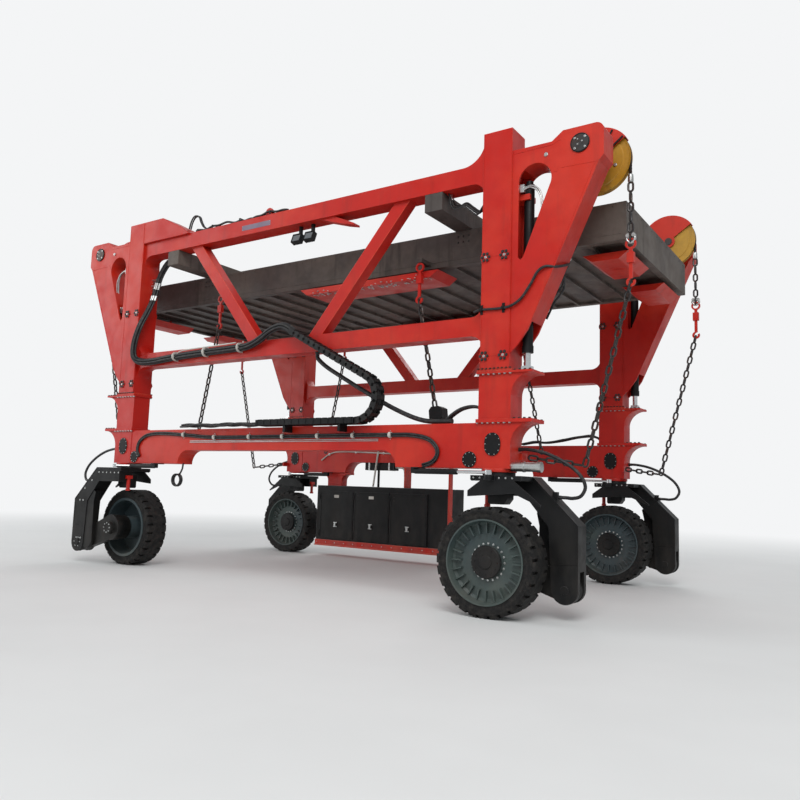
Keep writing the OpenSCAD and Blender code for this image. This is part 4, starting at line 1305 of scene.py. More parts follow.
@dataclass(frozen=True)
class LowerFrameTrim:
    """Covers, bolts and welds of one corner of a lower frame."""

    corner: Corner
    cover_w: float = 0.30
    cover_h: float = 0.40
    cover_t: float = 0.014
    skin: float = 0.006
    bolt: float = 0.026

    def covers(self) -> None:
        """Black access covers with their bolts, on both faces of the base and the haunch."""
        plates, bolts = sculpts(2)
        place = self.corner.leg()
        m = MACHINE
        for x, z, width, height, half in (
            (-0.02, m.base_z + 0.41, self.cover_w, self.cover_h, m.stub_half_w),
            (-0.46, m.base_z + 0.15, self.cover_w - 0.02, self.cover_w - 0.02, m.beam_half_w),
        ):
            outline = stadium(width, height) + np.array([x, z])
            inner = stadium(width - 0.05, height - 0.05) + np.array([x, z])
            for side in (-1, 1):
                face = side * (half + self.cover_t)
                plates.add(prism(outline, side * (half + 0.002), face + side * 0.002), place)
                plates.add(prism(inner, face, face + side * self.skin), place)
                spots = plate_bolts(outline, 0.02, face, 10)
                bolts.bolts(spots, (0, side, 0), 0.011, place)
        name, body = self.corner.name, self.corner.side_body
        plates.make(f"access_covers_{name}", BLACK, body, bevel=0.003)
        bolts.make(f"cover_bolts_{name}", ZINC, body)

    def foot_cylinder(self) -> list[Part]:
        """The bright cylinder across the leg's foot: its barrel and two collars, along X.

        Returns:
            The three tubes.
        """
        y, z = 0.12, 2.475
        rounds = (((0.30, 0.82), 0.078), ((0.50, 0.54), 0.088), ((0.76, 0.83), 0.088))
        return [tube([(x0, y, z), (x1, y, z)], radius, 24) for (x0, x1), radius in rounds]

    def flanges(self) -> None:
        """Bolt rows of the splice and base flanges."""
        m = MACHINE
        bright, dark = sculpts(2)
        place = self.corner.leg()
        for side in (-1, 1):
            y = side * (m.stub_half_w + 0.02)
            for z in (m.splice_z - m.flange_t, m.base_top - 0.06):
                bright.bolts(between((-0.31, y, z), (0.30, y, z), 7), (0, 0, -1), self.bolt, place)
            for z in (m.splice_z, m.base_top):
                dark.bolts(between((0.38, y, z), (0.66, y, z), 4), AXIS_Z, self.bolt, place)
        if self.corner.name == "near_right":
            bright.add_all(self.foot_cylinder(), place)
        name, body = self.corner.name, self.corner.side_body
        bright.make(f"flange_bolts_{name}", ZINC, body)
        dark.make(f"corbel_bolts_{name}", OILED, body)

    def welds(self) -> None:
        """Weld beads where the stub meets its flanges and the base."""
        m = MACHINE
        beads, place = Sculpt(), self.corner.leg()
        half_l, half_w = m.stub_half_l, m.stub_half_w
        for z in (m.base_top, m.splice_z - m.flange_t):
            for side in (-1, 1):
                beads.add(weld([(-half_l, side * half_w, z), (half_l, side * half_w, z)]), place)
            beads.add(weld([(-half_l, -half_w, z), (-half_l, half_w, z)], AXIS_X), place)
        for side in (-1, 1):
            edge = side * m.beam_half_w
            seam = [(-1.99, edge, m.base_z + 0.01), (-0.31, edge, m.base_z + 0.01)]
            beads.add(weld(seam), place)
        beads.make(f"stub_welds_{self.corner.name}", RED, self.corner.side_body)

    def build(self) -> None:
        """Adds all of it."""
        self.covers()
        self.flanges()
        self.welds()


@dataclass(frozen=True)
class NearBeamLines:
    """The near beam's hose pair with its clips, and the brake pipes under it."""

    hose_y: float = -3.3718
    hose_r: float = 0.021
    pair: tuple[Pair, ...] = ((-0.021, 0.0), (0.021, 0.0))
    clip_x: tuple[float, ...] = (-2.80, -1.80, -0.74, 0.21, 1.14, 2.02, 2.88)
    clip_r: float = 0.043
    pipe_y: float = -3.353
    pipe_z: Pair = (2.955, 2.925)
    route: tuple[Pair, ...] = (
        (-4.33, 2.60), (-4.42, 2.74), (-4.38, 2.92), (-4.20, 3.06), (-3.90, 3.125), (-3.40, 3.13),
        (-2.60, 3.08), (-1.80, 3.03), (0.0, 3.025), (1.6, 3.03), (2.90, 3.03), (3.35, 3.02),
        (3.70, 2.95), (3.88, 2.80), (3.90, 2.66), (3.80, 2.54), (3.60, 2.47),
    )

    def hose_z(self, x: float) -> float:
        """Height of the beam's hose at x: level from -1.8 on, and rising to its left end."""
        return float(np.interp(x, [-3.40, -1.80, 2.90], [3.14, 3.03, 3.03]))

    def build(self) -> None:
        """Adds the hoses, clips and pipes."""
        clips, screws, pipes, hoses = sculpts(4)
        hoses.add(bundle(flat_route(self.hose_y, self.route), self.pair, self.hose_r))
        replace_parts(hoses.make("beam_hose_pair", HOSE, Body.NEAR), "beam_hose")
        for x in self.clip_x:
            z = self.hose_z(x)
            clips.add(hose_clip((x, self.hose_y, z), self.clip_r))
            spots = [(x, self.hose_y + 0.012, z + 0.080), (x, self.hose_y + 0.012, z - 0.080)]
            screws.bolts(spots, (0, -1, 0), 0.009)
        for z in self.pipe_z:
            pipes.add(tube(between((-2.6, self.pipe_y, z), (2.6, self.pipe_y, z), 40), 0.008, 8))
        clips.make("hose_clips", PALE, Body.NEAR, bevel=0.002)
        screws.make("clip_screws", ZINC, Body.NEAR)
        pipes.make("brake_pipes", ZINC, Body.NEAR)


# Upper frame


@dataclass(frozen=True)
class SleeveTrim:
    """Pad adjusters, welds and seams on one sleeve leg."""

    corner: Corner
    columns: Pair = (-0.20, 0.16)
    levels: Pair = (4.37, 6.13)

    def build(self) -> None:
        """Adds the pads' round adjusters with six bolts each, the foot's bolts and the seams."""
        m = MACHINE
        plates, bolts, screws, seams = sculpts(4)
        place, name = self.corner.leg(), self.corner.name
        for side in (-1, 1):
            face = side * m.sleeve_half_w
            for z in self.levels:
                for x in self.columns:
                    disc = stadium(0.20, 0.20, 16) + np.array([x, z])
                    plates.add(prism(disc, face, face + side * 0.010), place)
                    spots = on_circle((x, face + side * 0.010, z), 0.066, 6)
                    bolts.bolts(spots, (0, side, 0), 0.027, place)
                    screws.bolts([(x, face + side * 0.010, z)], (0, side, 0), 0.024, place)
                line = [(self.columns[0], face, z), (self.columns[1], face, z)]
                seams.weld(line, 0.004, place)
            for x in (-m.sleeve_half_l + 0.012, m.sleeve_half_l - 0.012):
                seams.weld([(x, face, 4.15), (x, face, m.head_z - 0.03)], 0.005, place)
            foot = m.splice_z + m.flange_t
            row = between((-0.30, face + side * 0.006, foot), (0.30, face + side * 0.006, foot), 9)
            bolts.bolts(row, AXIS_Z, 0.025, place)
        for z in (m.mid_z[0], m.top_z[0]):
            x = -m.sleeve_half_l
            seams.weld([(x, -0.17, z - 0.2), (x, -0.17, z + 0.5)], 0.006, place)
        plates.make(f"pad_adjusters_{name}", RED, Body.UPPER, bevel=0.002)
        bolts.make(f"adjuster_bolts_{name}", OILED, Body.UPPER)
        screws.make(f"adjuster_screws_{name}", ZINC, Body.UPPER)
        seams.make(f"sleeve_seams_{name}", RED, Body.UPPER)


@dataclass(frozen=True)
class HeadHaunch:
    """The longer head box of the left legs: it runs in over the top beam and slopes down to it."""

    corner: Corner
    top_in: float = -0.94
    knee: Pair = (-1.66, 8.07)
    toe: float = -1.90

    def build(self) -> None:
        """Adds the haunch with the weld beads round its foot."""
        m = MACHINE
        back, low = -m.sleeve_half_l + 0.01, m.top_z[1] - 0.02
        top = [(back, low), (back, m.head_z), (self.top_in, m.head_z)]
        outline = [*top, self.knee, (self.toe, low + 0.025), (self.toe, low)]
        haunch, seams = sculpts(2)
        place, name = self.corner.leg(), self.corner.name
        haunch.add(prism(outline, -m.sleeve_half_w, m.sleeve_half_w), place)
        for side in (-1, 1):
            y = side * m.sleeve_half_w
            seams.weld([(back, y, low), (self.toe, y, low)], 0.006, place)
            upright = [(back + 0.02, y, low), (back + 0.02, y, m.head_z - 0.02)]
            seams.weld(upright, 0.005, place)
        haunch.make(f"head_haunch_{name}", RED, Body.UPPER, bevel=0.012)
        seams.make(f"haunch_seams_{name}", RED, Body.UPPER)


@dataclass(frozen=True)
class EarTrim:
    """Shaft cover ring, guard ribs, bolts, seams and silver hoses of one ear and its sheave."""

    corner: Corner
    half_w: float = 0.24
    cover_t: float = 0.02
    rib_turns: tuple[float, ...] = (38, 62, 86)

    def fasteners(self) -> Sculpt:
        """Bolts of the shaft's cover, its end, the ear's cheek and the sheave.

        Returns:
            The bolts.
        """
        x, z, wheel = MACHINE.shaft_x, MACHINE.shaft_z, MACHINE.sheave_y + 0.058
        bolts, place = Sculpt(), self.corner.leg()
        face = self.half_w + self.cover_t
        ring = on_circle((x, face, z), 0.125, 4, start=math.pi / 4)
        bolts.bolts(ring, AXIS_Y, 0.020, place)
        bolts.bolts(on_circle((x, self.half_w + 0.06, z), 0.05, 3), AXIS_Y, 0.012, place)
        bolts.bolts([(0.90, self.half_w, 7.78)], AXIS_Y, 0.035, place)
        bolts.bolts(on_circle((x, wheel, z), 0.33, 6, start=-0.35), AXIS_Y, 0.030, place)
        return bolts

    def covers(self) -> Sculpt:
        """The raised ring of the shaft's cover and the ribs of the sheave's guard.

        Returns:
            The ring and ribs.
        """
        covers, face = Sculpt(), self.half_w + self.cover_t
        hub = Matrix.Translation((MACHINE.shaft_x, 0, MACHINE.shaft_z))
        ring = [[0.165, face], [0.152, face + 0.008], [0.145, face], [0.150, face - 0.003]]
        covers.add(lathe(ring, 40), self.corner.leg() @ hub)
        guard = MACHINE.sheave_y + 0.096
        for degrees in self.rib_turns:
            turn = hub @ turned(-degrees, "Y")
            rib = box((0.16, guard, -0.014), (0.58, guard + 0.02, 0.014))
            covers.add(rib, self.corner.leg() @ turn)
        return covers

    def seams(self) -> Sculpt:
        """Weld beads along the slot, the head and the ear's edge on both cheeks, with a small mark.

        Returns:
            The beads and the mark.
        """
        seams, place = Sculpt(), self.corner.leg()
        for side in (-1, 1):
            y = side * self.half_w
            seams.weld([(1.18, y, 7.49), (1.80, y, 7.47)], 0.006, place)
            seams.weld([(0.30, y, 7.92), (1.00, y, 7.93), (1.16, y, 7.99)], 0.006, place)
            seams.weld([(0.46, y, 4.62), (0.62, y, 4.84), (1.74, y, 7.44)], 0.005, place)
            mark = [[1.02, 7.44], [1.10, 7.44], [1.10, 7.52]]
            seams.add(prism(mark, y, y + side * 0.004), place)
        return seams

    def hoses(self) -> Sculpt:
        """The two silver hoses that bend round inside the slot.

        Returns:
            The hoses.
        """
        hoses = Sculpt()
        for d, radius in ((0.0, 0.017), (0.045, 0.014)):
            points = [
                (0.42, 0.10 + d, 7.30 - d), (0.58, 0.12 + d, 7.34 - d), (0.74, 0.13 + d, 7.22 - d),
                (0.80, 0.13 + d, 6.95), (0.77, 0.10 + d, 6.60), (0.62, 0.06 + d, 6.30),
            ]
            hoses.add(tube(smooth_route(points, 8), radius, 10), self.corner.leg())
        return hoses

    def build(self) -> None:
        """Adds all of it."""
        name, place, blocks = self.corner.name, self.corner.leg(), Sculpt()
        blocks.add(box((0.40, 0.07, 7.22), (0.48, 0.19, 7.36)), place)
        blocks.add(box((0.56, 0.04, 6.22), (0.66, 0.16, 6.33)), place)
        self.fasteners().make(f"shaft_cover_bolts_{name}", ZINC, Body.UPPER)
        self.seams().make(f"ear_seams_{name}", RED, Body.UPPER)
        self.hoses().make(f"ear_hoses_{name}", ZINC, Body.UPPER)
        blocks.make(f"hose_blocks_{name}", ZINC, Body.UPPER, bevel=0.003)
        self.covers().make(f"cover_rings_{name}", BLACK, Body.UPPER, bevel=0.002)


@dataclass(frozen=True)
class Rigging:
    """Wire ropes over the sheaves, link chains below them and the chain spare in the pans."""

    bar: float = 0.040
    link_l: float = 0.200
    link_w: float = 0.120
    hook_l: float = 0.76
    shackle_z: float = 6.40
    shackle_r: float = 0.095
    hook_in: float = 0.038
    side_x: float = 2.85
    side_y: float = 2.46
    side_z: float = 6.5597
    socket_z: float = 7.41
    strands: int = 6
    strand_r: float = 0.0105
    strand_out: float = 0.0172
    lay_l: float = 0.34
    spare_links: int = 300
    spare_scale: float = 0.42

    def link(self) -> Part:
        """One round-bar link along Z, standing on Z 0 in the XZ plane.

        Returns:
            The link's points and faces.
        """
        half_w = (self.link_w - self.bar) / 2
        half_l = (self.link_l - self.bar) / 2 - half_w
        turn = np.linspace(0, math.pi, 7)
        cap = np.stack([np.cos(turn), np.zeros(7), np.sin(turn)], axis=1) * half_w
        path = np.vstack([cap + [0, 0, half_l], -cap - [0, 0, half_l]]) + [0, 0, self.link_l / 2]
        ring = np.vstack([path, path[:1]])
        part = tube(ring, self.bar / 2, 7)
        return part[0], part[1][:1]

    def run(self, foot: Vec, top: Vec, first_turn: float = 0.0) -> np.ndarray:
        """Places of the links of a straight chain, every other link turned by a right angle.

        Args:
            foot: where the chain starts.
            top: where it ends.
            first_turn: turn of the first link, in degrees.

        Returns:
            One 4x4 matrix for each link.
        """
        foot, top = np.asarray(foot, float), np.asarray(top, float)
        reach = float(np.linalg.norm(top - foot))
        count = 2 * round((reach - self.bar) / (self.link_l - self.bar) / 2)
        step = (reach - self.link_l) / (count - 1)
        d = (top - foot) / reach
        aim = Matrix.Translation(foot) @ Matrix.Rotation(math.atan2(d[1], d[0]), 4, "Z")
        aim = aim @ Matrix.Rotation(math.acos(d[2]), 4, "Y")
        turns = [math.radians(first_turn + i % 2 * 90) for i in range(count)]
        links = [
            np.array(aim @ Matrix.Translation((0, 0, i * step)) @ Matrix.Rotation(turn, 4, "Z"))
            for i, turn in enumerate(turns)
        ]
        return np.array(links)

    def link_end(self, eye: float) -> float:
        """How far a link's end lies past an eye's middle when its bar rests in it, by Pythagoras."""
        return self.bar - math.sqrt((eye - 0.0009) ** 2 - (self.bar / 2) ** 2)

    def chains(self) -> None:
        """All chains that hang at the corners and beside the platform."""
        m = MACHINE
        chain = Sculpt()
        y, hang_x = m.sheave_y, m.shaft_x + m.rope_r
        hook_top = self.link_end(self.hook_in) - self.hook_l
        for corner in CORNERS:
            foot = np.array([1.26, y, m.base_z + 0.06])
            low = self.shackle_z - self.shackle_r - self.link_end(self.shackle_r - self.bar)
            runs = [
                self.run((hang_x, y, low), (hang_x, y, self.socket_z), 90),
                self.run(foot, (hang_x, y, self.shackle_z + hook_top)),
                self.run((0.365, -0.355, m.base_z + 0.22), foot + [-0.02, 0.01, 0.04]),
            ]
            chain.add(copies(self.link(), np.vstack(runs)), corner.leg())
            flip = Matrix.Diagonal((corner.sx, corner.sy, 1, 1))
            side_top = (self.side_x, self.side_y, self.side_z + hook_top)
            chain.add(copies(self.link(), self.run((3.42, self.side_y, 2.97), side_top)), flip)
        piece = chain.make("link_chains", OILED, Body.UPPER)
        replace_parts(piece, "lifting_chains")

    def rope(self) -> Points:
        """Centre line of one rope: up from its anchor, half round the sheave and down to its socket.

        Returns:
            The points of the line.
        """
        m = MACHINE
        turn = np.linspace(math.pi, 0, 60)
        x, z = m.shaft_x + m.rope_r * np.cos(turn), m.shaft_z + m.rope_r * np.sin(turn)
        arc = np.stack([x, np.full(60, m.sheave_y), z], axis=1)
        rise = between((m.shaft_x - m.rope_r, m.sheave_y, 7.0), arc[0], 30)
        fall = between(arc[-1], (m.shaft_x + m.rope_r, m.sheave_y, 7.42), 14)
        return np.vstack([rise[:-1], arc, fall[1:]])

    def ropes(self) -> None:
        """Adds the ropes and their poured sockets.

        Each strand is the centre line moved out by the cosine of its turn along the line's normal
        and by the sine along Y. The turn grows by a full one in each lay length.
        """
        centre = self.rope()
        out = np.cross(unit(np.gradient(centre, axis=0)), AXIS_Y)
        reach = distances(centre)
        ropes, sockets = sculpts(2)
        profile = [[0.03, 7.54], [0.046, 7.52], [0.050, 7.42], [0.044, 7.39], [0.028, 7.385]]
        socket = lathe(profile, 20, closed=False)
        hang = Matrix.Translation((MACHINE.shaft_x + MACHINE.rope_r, MACHINE.sheave_y, 0))
        upright = hang @ turned(90, "X")
        for corner in CORNERS:
            for k in range(self.strands):
                turn = (k / self.strands + reach / self.lay_l)[:, None] * 2 * math.pi
                round_core = np.cos(turn) * out + np.sin(turn) * np.array(AXIS_Y)
                strand = centre + self.strand_out * round_core
                ropes.add(tube(strand, self.strand_r, 5), corner.leg())
            ropes.add(tube(centre, 0.012, 5), corner.leg())
            sockets.add(socket, corner.leg() @ upright)
        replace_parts(ropes.make("wire_ropes", OILED, Body.UPPER), "lifting_chains")
        sockets.make("rope_sockets", ZINC, Body.UPPER, bevel=0.002)

    def spare(self) -> None:
        """Adds the loose bright chain heaped in the long pans, where it was dropped."""
        rng = np.random.default_rng(11)
        heap = Sculpt()
        scale = Matrix.Scale(self.spare_scale, 4)
        for sy in (-1, 1):
            count = self.spare_links
            x = rng.uniform(-0.12, 2.96, count)
            z = 6.287 + 0.05 * rng.random(count) ** 1.5
            y = sy * (2.26 + 0.055 * rng.standard_normal(count)).clip(2.14, 2.335)
            turns = rng.uniform(0, math.pi, (count, 3))
            places = [
                Matrix.Translation(spot)
                @ Matrix.Rotation(turn[0], 4, "Z")
                @ Matrix.Rotation(1.25 + 0.3 * turn[1], 4, "X")
                @ scale
                for spot, turn in zip(zip(x, y, z), turns)
            ]
            heap.add(copies(self.link(), np.array([np.array(place) for place in places])))
        heap.make("spare_chain", ZINC, Body.UPPER)

    def shackles(self) -> None:
        """The bright bow shackles with their pins, one on each corner's chain."""
        m = MACHINE
        turn = np.linspace(-0.25 * math.pi, 1.25 * math.pi, 31)
        reach = self.shackle_r - 0.0255
        hang = (m.shaft_x + m.rope_r, m.sheave_y, self.shackle_z)
        bow = np.stack([reach * np.cos(turn), 0 * turn, -reach * np.sin(turn)], axis=1) + hang
        bright = Sculpt()
        for corner in CORNERS:
            bright.add(tube(bow, 0.025, 10), corner.leg())
            for end in (bow[0], bow[-1]):
                pin = [end - (0, 0.03, 0), end + (0, 0.03, 0)]
                bright.add(tube(pin, 0.034, 12, AXIS_X), corner.leg())
        bright.make("bow_shackles", ZINC, Body.UPPER)

    def clamp(self) -> None:
        """The black container clamp that hangs low on the near right side chain."""
        outline = [
            (3.23, 3.37), (3.47, 3.36), (3.52, 3.42), (3.50, 3.60), (3.42, 3.64), (3.26, 3.63),
            (3.21, 3.56),
        ]
        block = Sculpt().add(prism(outline, -2.58, -2.34))
        block.add(prism([(3.27, 3.30), (3.40, 3.30), (3.42, 3.37), (3.25, 3.37)], -2.52, -2.40))
        block.make("chain_clamp", BLACK, Body.UPPER, bevel=0.012)

    def build(self) -> None:
        """Adds all of it."""
        self.chains()
        self.clamp()
        self.shackles()
        self.ropes()
        self.spare()


@dataclass(frozen=True)
class EnergyChainBand:
    """The energy chain of the near side: its run in the tray, its bend and the rising run.

    Its centre line runs level to the bend's start, turns up and back by turn_deg about a centre
    straight above, and then runs straight up to the middle beam.
    """

    left: float = -0.34
    bend_x: float = 2.18
    low_z: float = 3.305
    bend_r: float = 0.443
    turn_deg: float = 152.0
    rising: float = 2.2385
    outer: Pair = (-3.57, -3.31)
    height: float = 0.13
    pitch: float = 0.155

    def centre(self, along: np.ndarray) -> tuple[np.ndarray, np.ndarray, np.ndarray]:
        """The centre line at distances along it.

        Args:
            along: distances from its left end.

        Returns:
            X, Z and heading at each distance.
        """
        turn = math.radians(self.turn_deg)
        flat = self.bend_x - self.left
        arc = self.bend_r * turn
        angle = np.clip((along - flat) / self.bend_r, 0, turn)
        rest = np.clip(along - flat - arc, 0, None)
        x = self.left + np.minimum(along, flat) + self.bend_r * np.sin(angle) + rest * math.cos(turn)
        z = self.low_z + self.bend_r * (1 - np.cos(angle)) + rest * math.sin(turn)
        return x, z, angle

    def build(self) -> None:
        """Adds side plates, cross bars, pins and the hoses inside, bent between the two frames."""
        length = self.bend_x - self.left + self.bend_r * math.radians(self.turn_deg) + self.rising
        count = int(length / self.pitch)
        x, z, angle = self.centre((np.arange(count) + 0.5) * length / count)
        places = np.zeros((count, 4, 4))
        places[:, 0, 0] = places[:, 2, 2] = np.cos(angle)
        places[:, 2, 0], places[:, 0, 2] = np.sin(angle), -np.sin(angle)
        places[:, 1, 1] = places[:, 3, 3] = 1
        places[:, 0, 3], places[:, 2, 3] = x, z
        half = self.height / 2
        plate = np.array([(-0.085, -0.030), (-0.060, -half), (0.060, -half), (0.085, -0.030)])
        plate = np.vstack([plate, -plate])
        links, pins = sculpts(2)
        for wall, side in ((self.outer[0], 1), (self.outer[1], -1)):
            links.add(copies(prism(plate, wall, wall + side * 0.018), places))
            boss = lathe([[0.030, 0], [0.030, side * 0.026], [0.012, side * 0.026], [0.012, 0]], 10)
            shifted = places @ np.array(Matrix.Translation((-0.0775, wall, 0)))
            pins.add(copies(boss, shifted))
        for level in (-half, half - 0.012):
            low = (-0.035, self.outer[0] + 0.01, level)
            bar = box(low, (0.035, self.outer[1] - 0.01, level + 0.012))
            links.add(copies(bar, places))
        middle = (self.outer[0] + self.outer[1]) / 2
        bend = Bend(Body.NEAR, Body.UPPER, (0, middle, 3.45), (0, middle, 5.05))
        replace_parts(links.make("energy_chain_links", PLASTIC, bend, bevel=0.002), "energy_chain")
        pins.make("energy_chain_pins", PLASTIC, bend)
        hoses = Sculpt()
        x, z, angle = self.centre(np.linspace(0.01, length - 0.01, 160))
        for y, radius in ((middle - 0.07, 0.024), (middle - 0.012, 0.030), (middle + 0.055, 0.022)):
            path = np.stack([x, np.full_like(x, y), z], axis=1)
            hoses.add(tube(path, radius, 8))
        hoses.make("energy_chain_hoses", HOSE, bend)


@dataclass(frozen=True)
class CableTray:
    """The tray channel under the energy chain, and the loose hoses of both side beams."""

    cut: float = -0.36
    foot: float = 3.24
    wall: float = 0.012
    lip: float = 0.03
    plate: float = 0.006
    ribs: int = 14
    bracket_x: Pair = (0.42, 1.82)
    beam_face: float = -3.345

    def channel(self) -> None:
        """Adds the channel with lips, ribs and brackets, right of the cut."""
        low, high = (np.asarray(corner, float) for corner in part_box("cable_tray"))
        left, right, foot, top = self.cut, high[0], self.foot, high[2]
        channel = Sculpt()
        channel.add(box((left, low[1], foot), (right, high[1], foot + self.plate)))
        for y, lip in ((low[1], self.lip), (high[1] - self.wall, -self.lip)):
            channel.add(box((left, y, foot), (right, y + self.wall, top)))
            inner = sorted((y, y + lip))
            channel.add(box((left, inner[0], top - self.plate), (right, inner[1], top)))
        for x in between((left + 0.05, 0, 0), (right - 0.05, 0, 0), self.ribs)[:, 0]:
            front, back = low[1] - 0.008, low[1] + 0.004
            channel.add(box((x - 0.006, front, foot + 0.01), (x + 0.006, back, top - 0.01)))
        for x in self.bracket_x:
            channel.add(box((x - 0.03, low[1] + 0.02, low[2]), (x + 0.03, self.beam_face, foot)))
        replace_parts(channel.make("tray_channel", BLACK, Body.NEAR, bevel=0.002), "cable_tray")

    def near_hoses(self) -> None:
        """Adds five hoses waved by sines of x, two arcs up to the right leg and a coil on the left."""
        low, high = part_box("cable_tray")
        middle = (low[1] + high[1]) / 2
        hoses = Sculpt()
        x = np.linspace(low[0] + 0.02, self.cut + 0.02, 70)
        for k in range(5):
            y = middle + (k - 2) * 0.047 + 0.016 * np.sin(x * 4.1 + k * 1.3)
            z = self.foot + 0.045 + 0.022 * np.sin(x * 5.2 + k * 2.1) + 0.012 * (k % 2)
            hoses.add(tube(np.stack([x, y, z], axis=1), 0.022, 10))
        arc = [(3.92, 3.27), (4.06, 3.39), (4.24, 3.49), (4.44, 3.53), (4.60, 3.51), (4.69, 3.44)]
        for k in range(2):
            hoses.add(tube(flat_route(-3.09 - 0.08 * k, arc), 0.028, 10))
        turn = np.linspace(0.5 * math.pi, 6.5 * math.pi, 100)
        x, z = -3.13 + 0.13 * np.cos(turn), 2.07 + 0.13 * np.sin(turn)
        coil = np.stack([x, -3.26 + 0.0045 * turn, z], axis=1)
        rise = [(-3.08, -3.165, 2.23), (-3.02, -3.165, 2.33), (-3.00, -3.165, 2.46)]
        hoses.add(tube(np.vstack([coil, rise]), 0.02, 10))
        hoses.make("tray_hoses", HOSE, Body.NEAR)

    def far_hoses(self) -> None:
        """Adds three hoses that lie on the far beam's right end."""
        hoses = Sculpt()
        for k in range(3):
            up = 0.02 * (k % 2)
            lay = [
                (2.60, 3.27), (2.95, 3.32 + up), (3.30, 3.31), (3.70, 3.36 + up), (4.05, 3.43),
                (4.40, 3.46 + up), (4.60, 3.42), (4.69, 3.36),
            ]
            hoses.add(tube(flat_route(3.02 + 0.075 * k, lay), 0.026, 10))
        hoses.make("far_beam_hoses", HOSE, Body.FAR)

    def build(self) -> None:
        """Adds all of it."""
        self.channel()
        self.near_hoses()
        self.far_hoses()


@dataclass(frozen=True)
class UpperLines:
    """Hoses with their stands and couplings, lamps, brace welds and the blank plate."""

    beam_face: float = -3.325
    beam_top: float = 7.90
    lamp_x: Pair = (0.22, 0.56)
    lamp_half: float = 0.112
    stand_x: tuple[float, ...] = (-2.45, -1.55, -0.62)
    hose_r: float = 0.028
    sleeve_r: float = 0.036
    across: tuple[Pair, ...] = (
        (-0.064, 0.0), (-0.005, 0.012), (0.054, 0.0), (-0.034, -0.048), (0.024, -0.048),
    )
    leg: tuple[Triple, ...] = (
        (-4.02, -2.95, 7.52), (-4.24, -2.98, 7.40), (-4.42, -3.02, 7.12), (-4.50, -3.06, 6.80),
        (-4.52, -3.14, 6.45), (-4.55, -3.27, 6.10), (-4.58, -3.40, 5.80), (-4.64, -3.46, 5.50),
        (-4.69, -3.47, 5.20), (-4.65, -3.455, 4.98), (-4.46, -3.42, 4.885), (-4.07, -3.385, 4.87),
        (-3.34, -3.375, 4.92), (-2.22, -3.375, 4.96), (-1.30, -3.375, 4.98), (-0.90, -3.39, 5.00),
        (-0.55, -3.42, 5.10), (-0.20, -3.44, 5.27), (0.08, -3.44, 5.33), (0.27, -3.44, 5.28),
        (0.44, -3.44, 5.17),
    )
    cross_leg: tuple[Triple, ...] = (
        (4.60, -3.41, 5.16), (4.74, -3.41, 5.19), (5.10, -3.41, 5.18), (5.32, -3.41, 5.21),
        (5.50, -3.41, 5.32), (5.66, -3.41, 5.53), (5.79, -3.41, 5.74), (5.92, -3.40, 5.81),
        (6.06, -3.34, 5.80), (6.14, -3.20, 5.84), (6.15, -2.98, 5.92), (6.10, -2.82, 5.98),
    )
    pipe: tuple[Triple, ...] = (
        (-3.25, -3.40, 4.93), (-3.12, -3.42, 5.00), (-2.90, -3.42, 5.05), (-2.0, -3.42, 5.07),
        (-1.25, -3.42, 5.09),
    )

    def leg_route(self) -> Points:
        """Centre line of the bundle: down the leg, along the middle beam and up to the chain."""
        return smooth_route(self.leg, 6)

    def lamps(self) -> None:
        """Adds the panes and the bezels of the two floodlights."""
        glass, bezel = sculpts(2)
        half = self.lamp_half
        pane = [[-0.100, -0.075], [0.100, -0.075], [0.100, 0.075], [-0.100, 0.075]]
        bars = (
            ((-half, 0.080), (half, 0.092)),
            ((-half, -0.092), (half, -0.080)),
            ((-half - 0.005, -0.092), (-half + 0.007, 0.092)),
            ((half - 0.007, -0.092), (half + 0.005, 0.092)),
        )
        for x in self.lamp_x:
            place = Matrix.Translation((x, -3.165, 7.22)) @ turned(-20, "X")
            glass.add(prism(pane, -0.112, -0.104), place)
            for low, high in bars:
                bezel.add(box((low[0], -0.124, low[1]), (high[0], -0.116, high[1])), place)
        glass.make("lamp_glass_panes", GLASS, Body.UPPER, bevel=0.003)
        bezel.make("lamp_bezels", BLACK, Body.UPPER, bevel=0.002)

    def plate(self) -> None:
        """Adds a blank plate with four rivets on the top beam's near face."""
        x, z, half_l, half_h, face = -0.93, 7.71, 0.43, 0.058, self.beam_face - 0.004
        plate, rivets = sculpts(2)
        plate.add(box((x - half_l, face, z - half_h), (x + half_l, self.beam_face, z + half_h)))
        out, up = half_l - 0.02, half_h - 0.018
        spots = [(x + a * out, face, z + b * up) for a in (-1, 1) for b in (-1, 1)]
        rivets.bolts(spots, (0, -1, 0), 0.006)
        plate.make("blank_plate", PLATE, Body.UPPER, bevel=0.0015)
        rivets.make("plate_rivets", ZINC, Body.UPPER)

    def beam_hoses(self) -> list[Part]:
        """Four hoses along the top beam, waved by sines of x, and the double loop at its left end.

        Returns:
            The six hoses.
        """
        parts = []
        x = np.linspace(-3.05, -0.12, 90)
        for k, radius in enumerate((0.024, 0.020, 0.022, 0.014)):
            y = -3.18 + 0.055 * k + 0.03 * np.sin(x * 3.1 + k * 1.7)
            z = 7.925 + radius + 0.05 * np.sin(x * 2.3 + k * 2.2) ** 2 + 0.03 * np.sin(x * 7 + k) ** 2
            parts.append(tube(np.stack([x, y, z], axis=1), radius, 10))
        for d in (0.0, 0.05):
            loop = [
                (-3.36, -3.14 + d, 8.10), (-3.30, -3.14 + d, 8.28), (-3.18, -3.15 + d, 8.38),
                (-3.02, -3.16 + d, 8.34), (-2.92, -3.17 + d, 8.18), (-2.80, -3.18 + d, 8.04),
                (-2.62, -3.18 + d, 7.96), (-2.40, -3.18 + d, 7.95),
            ]
            parts.append(tube(smooth_route(loop, 6), 0.018, 10))
        return parts

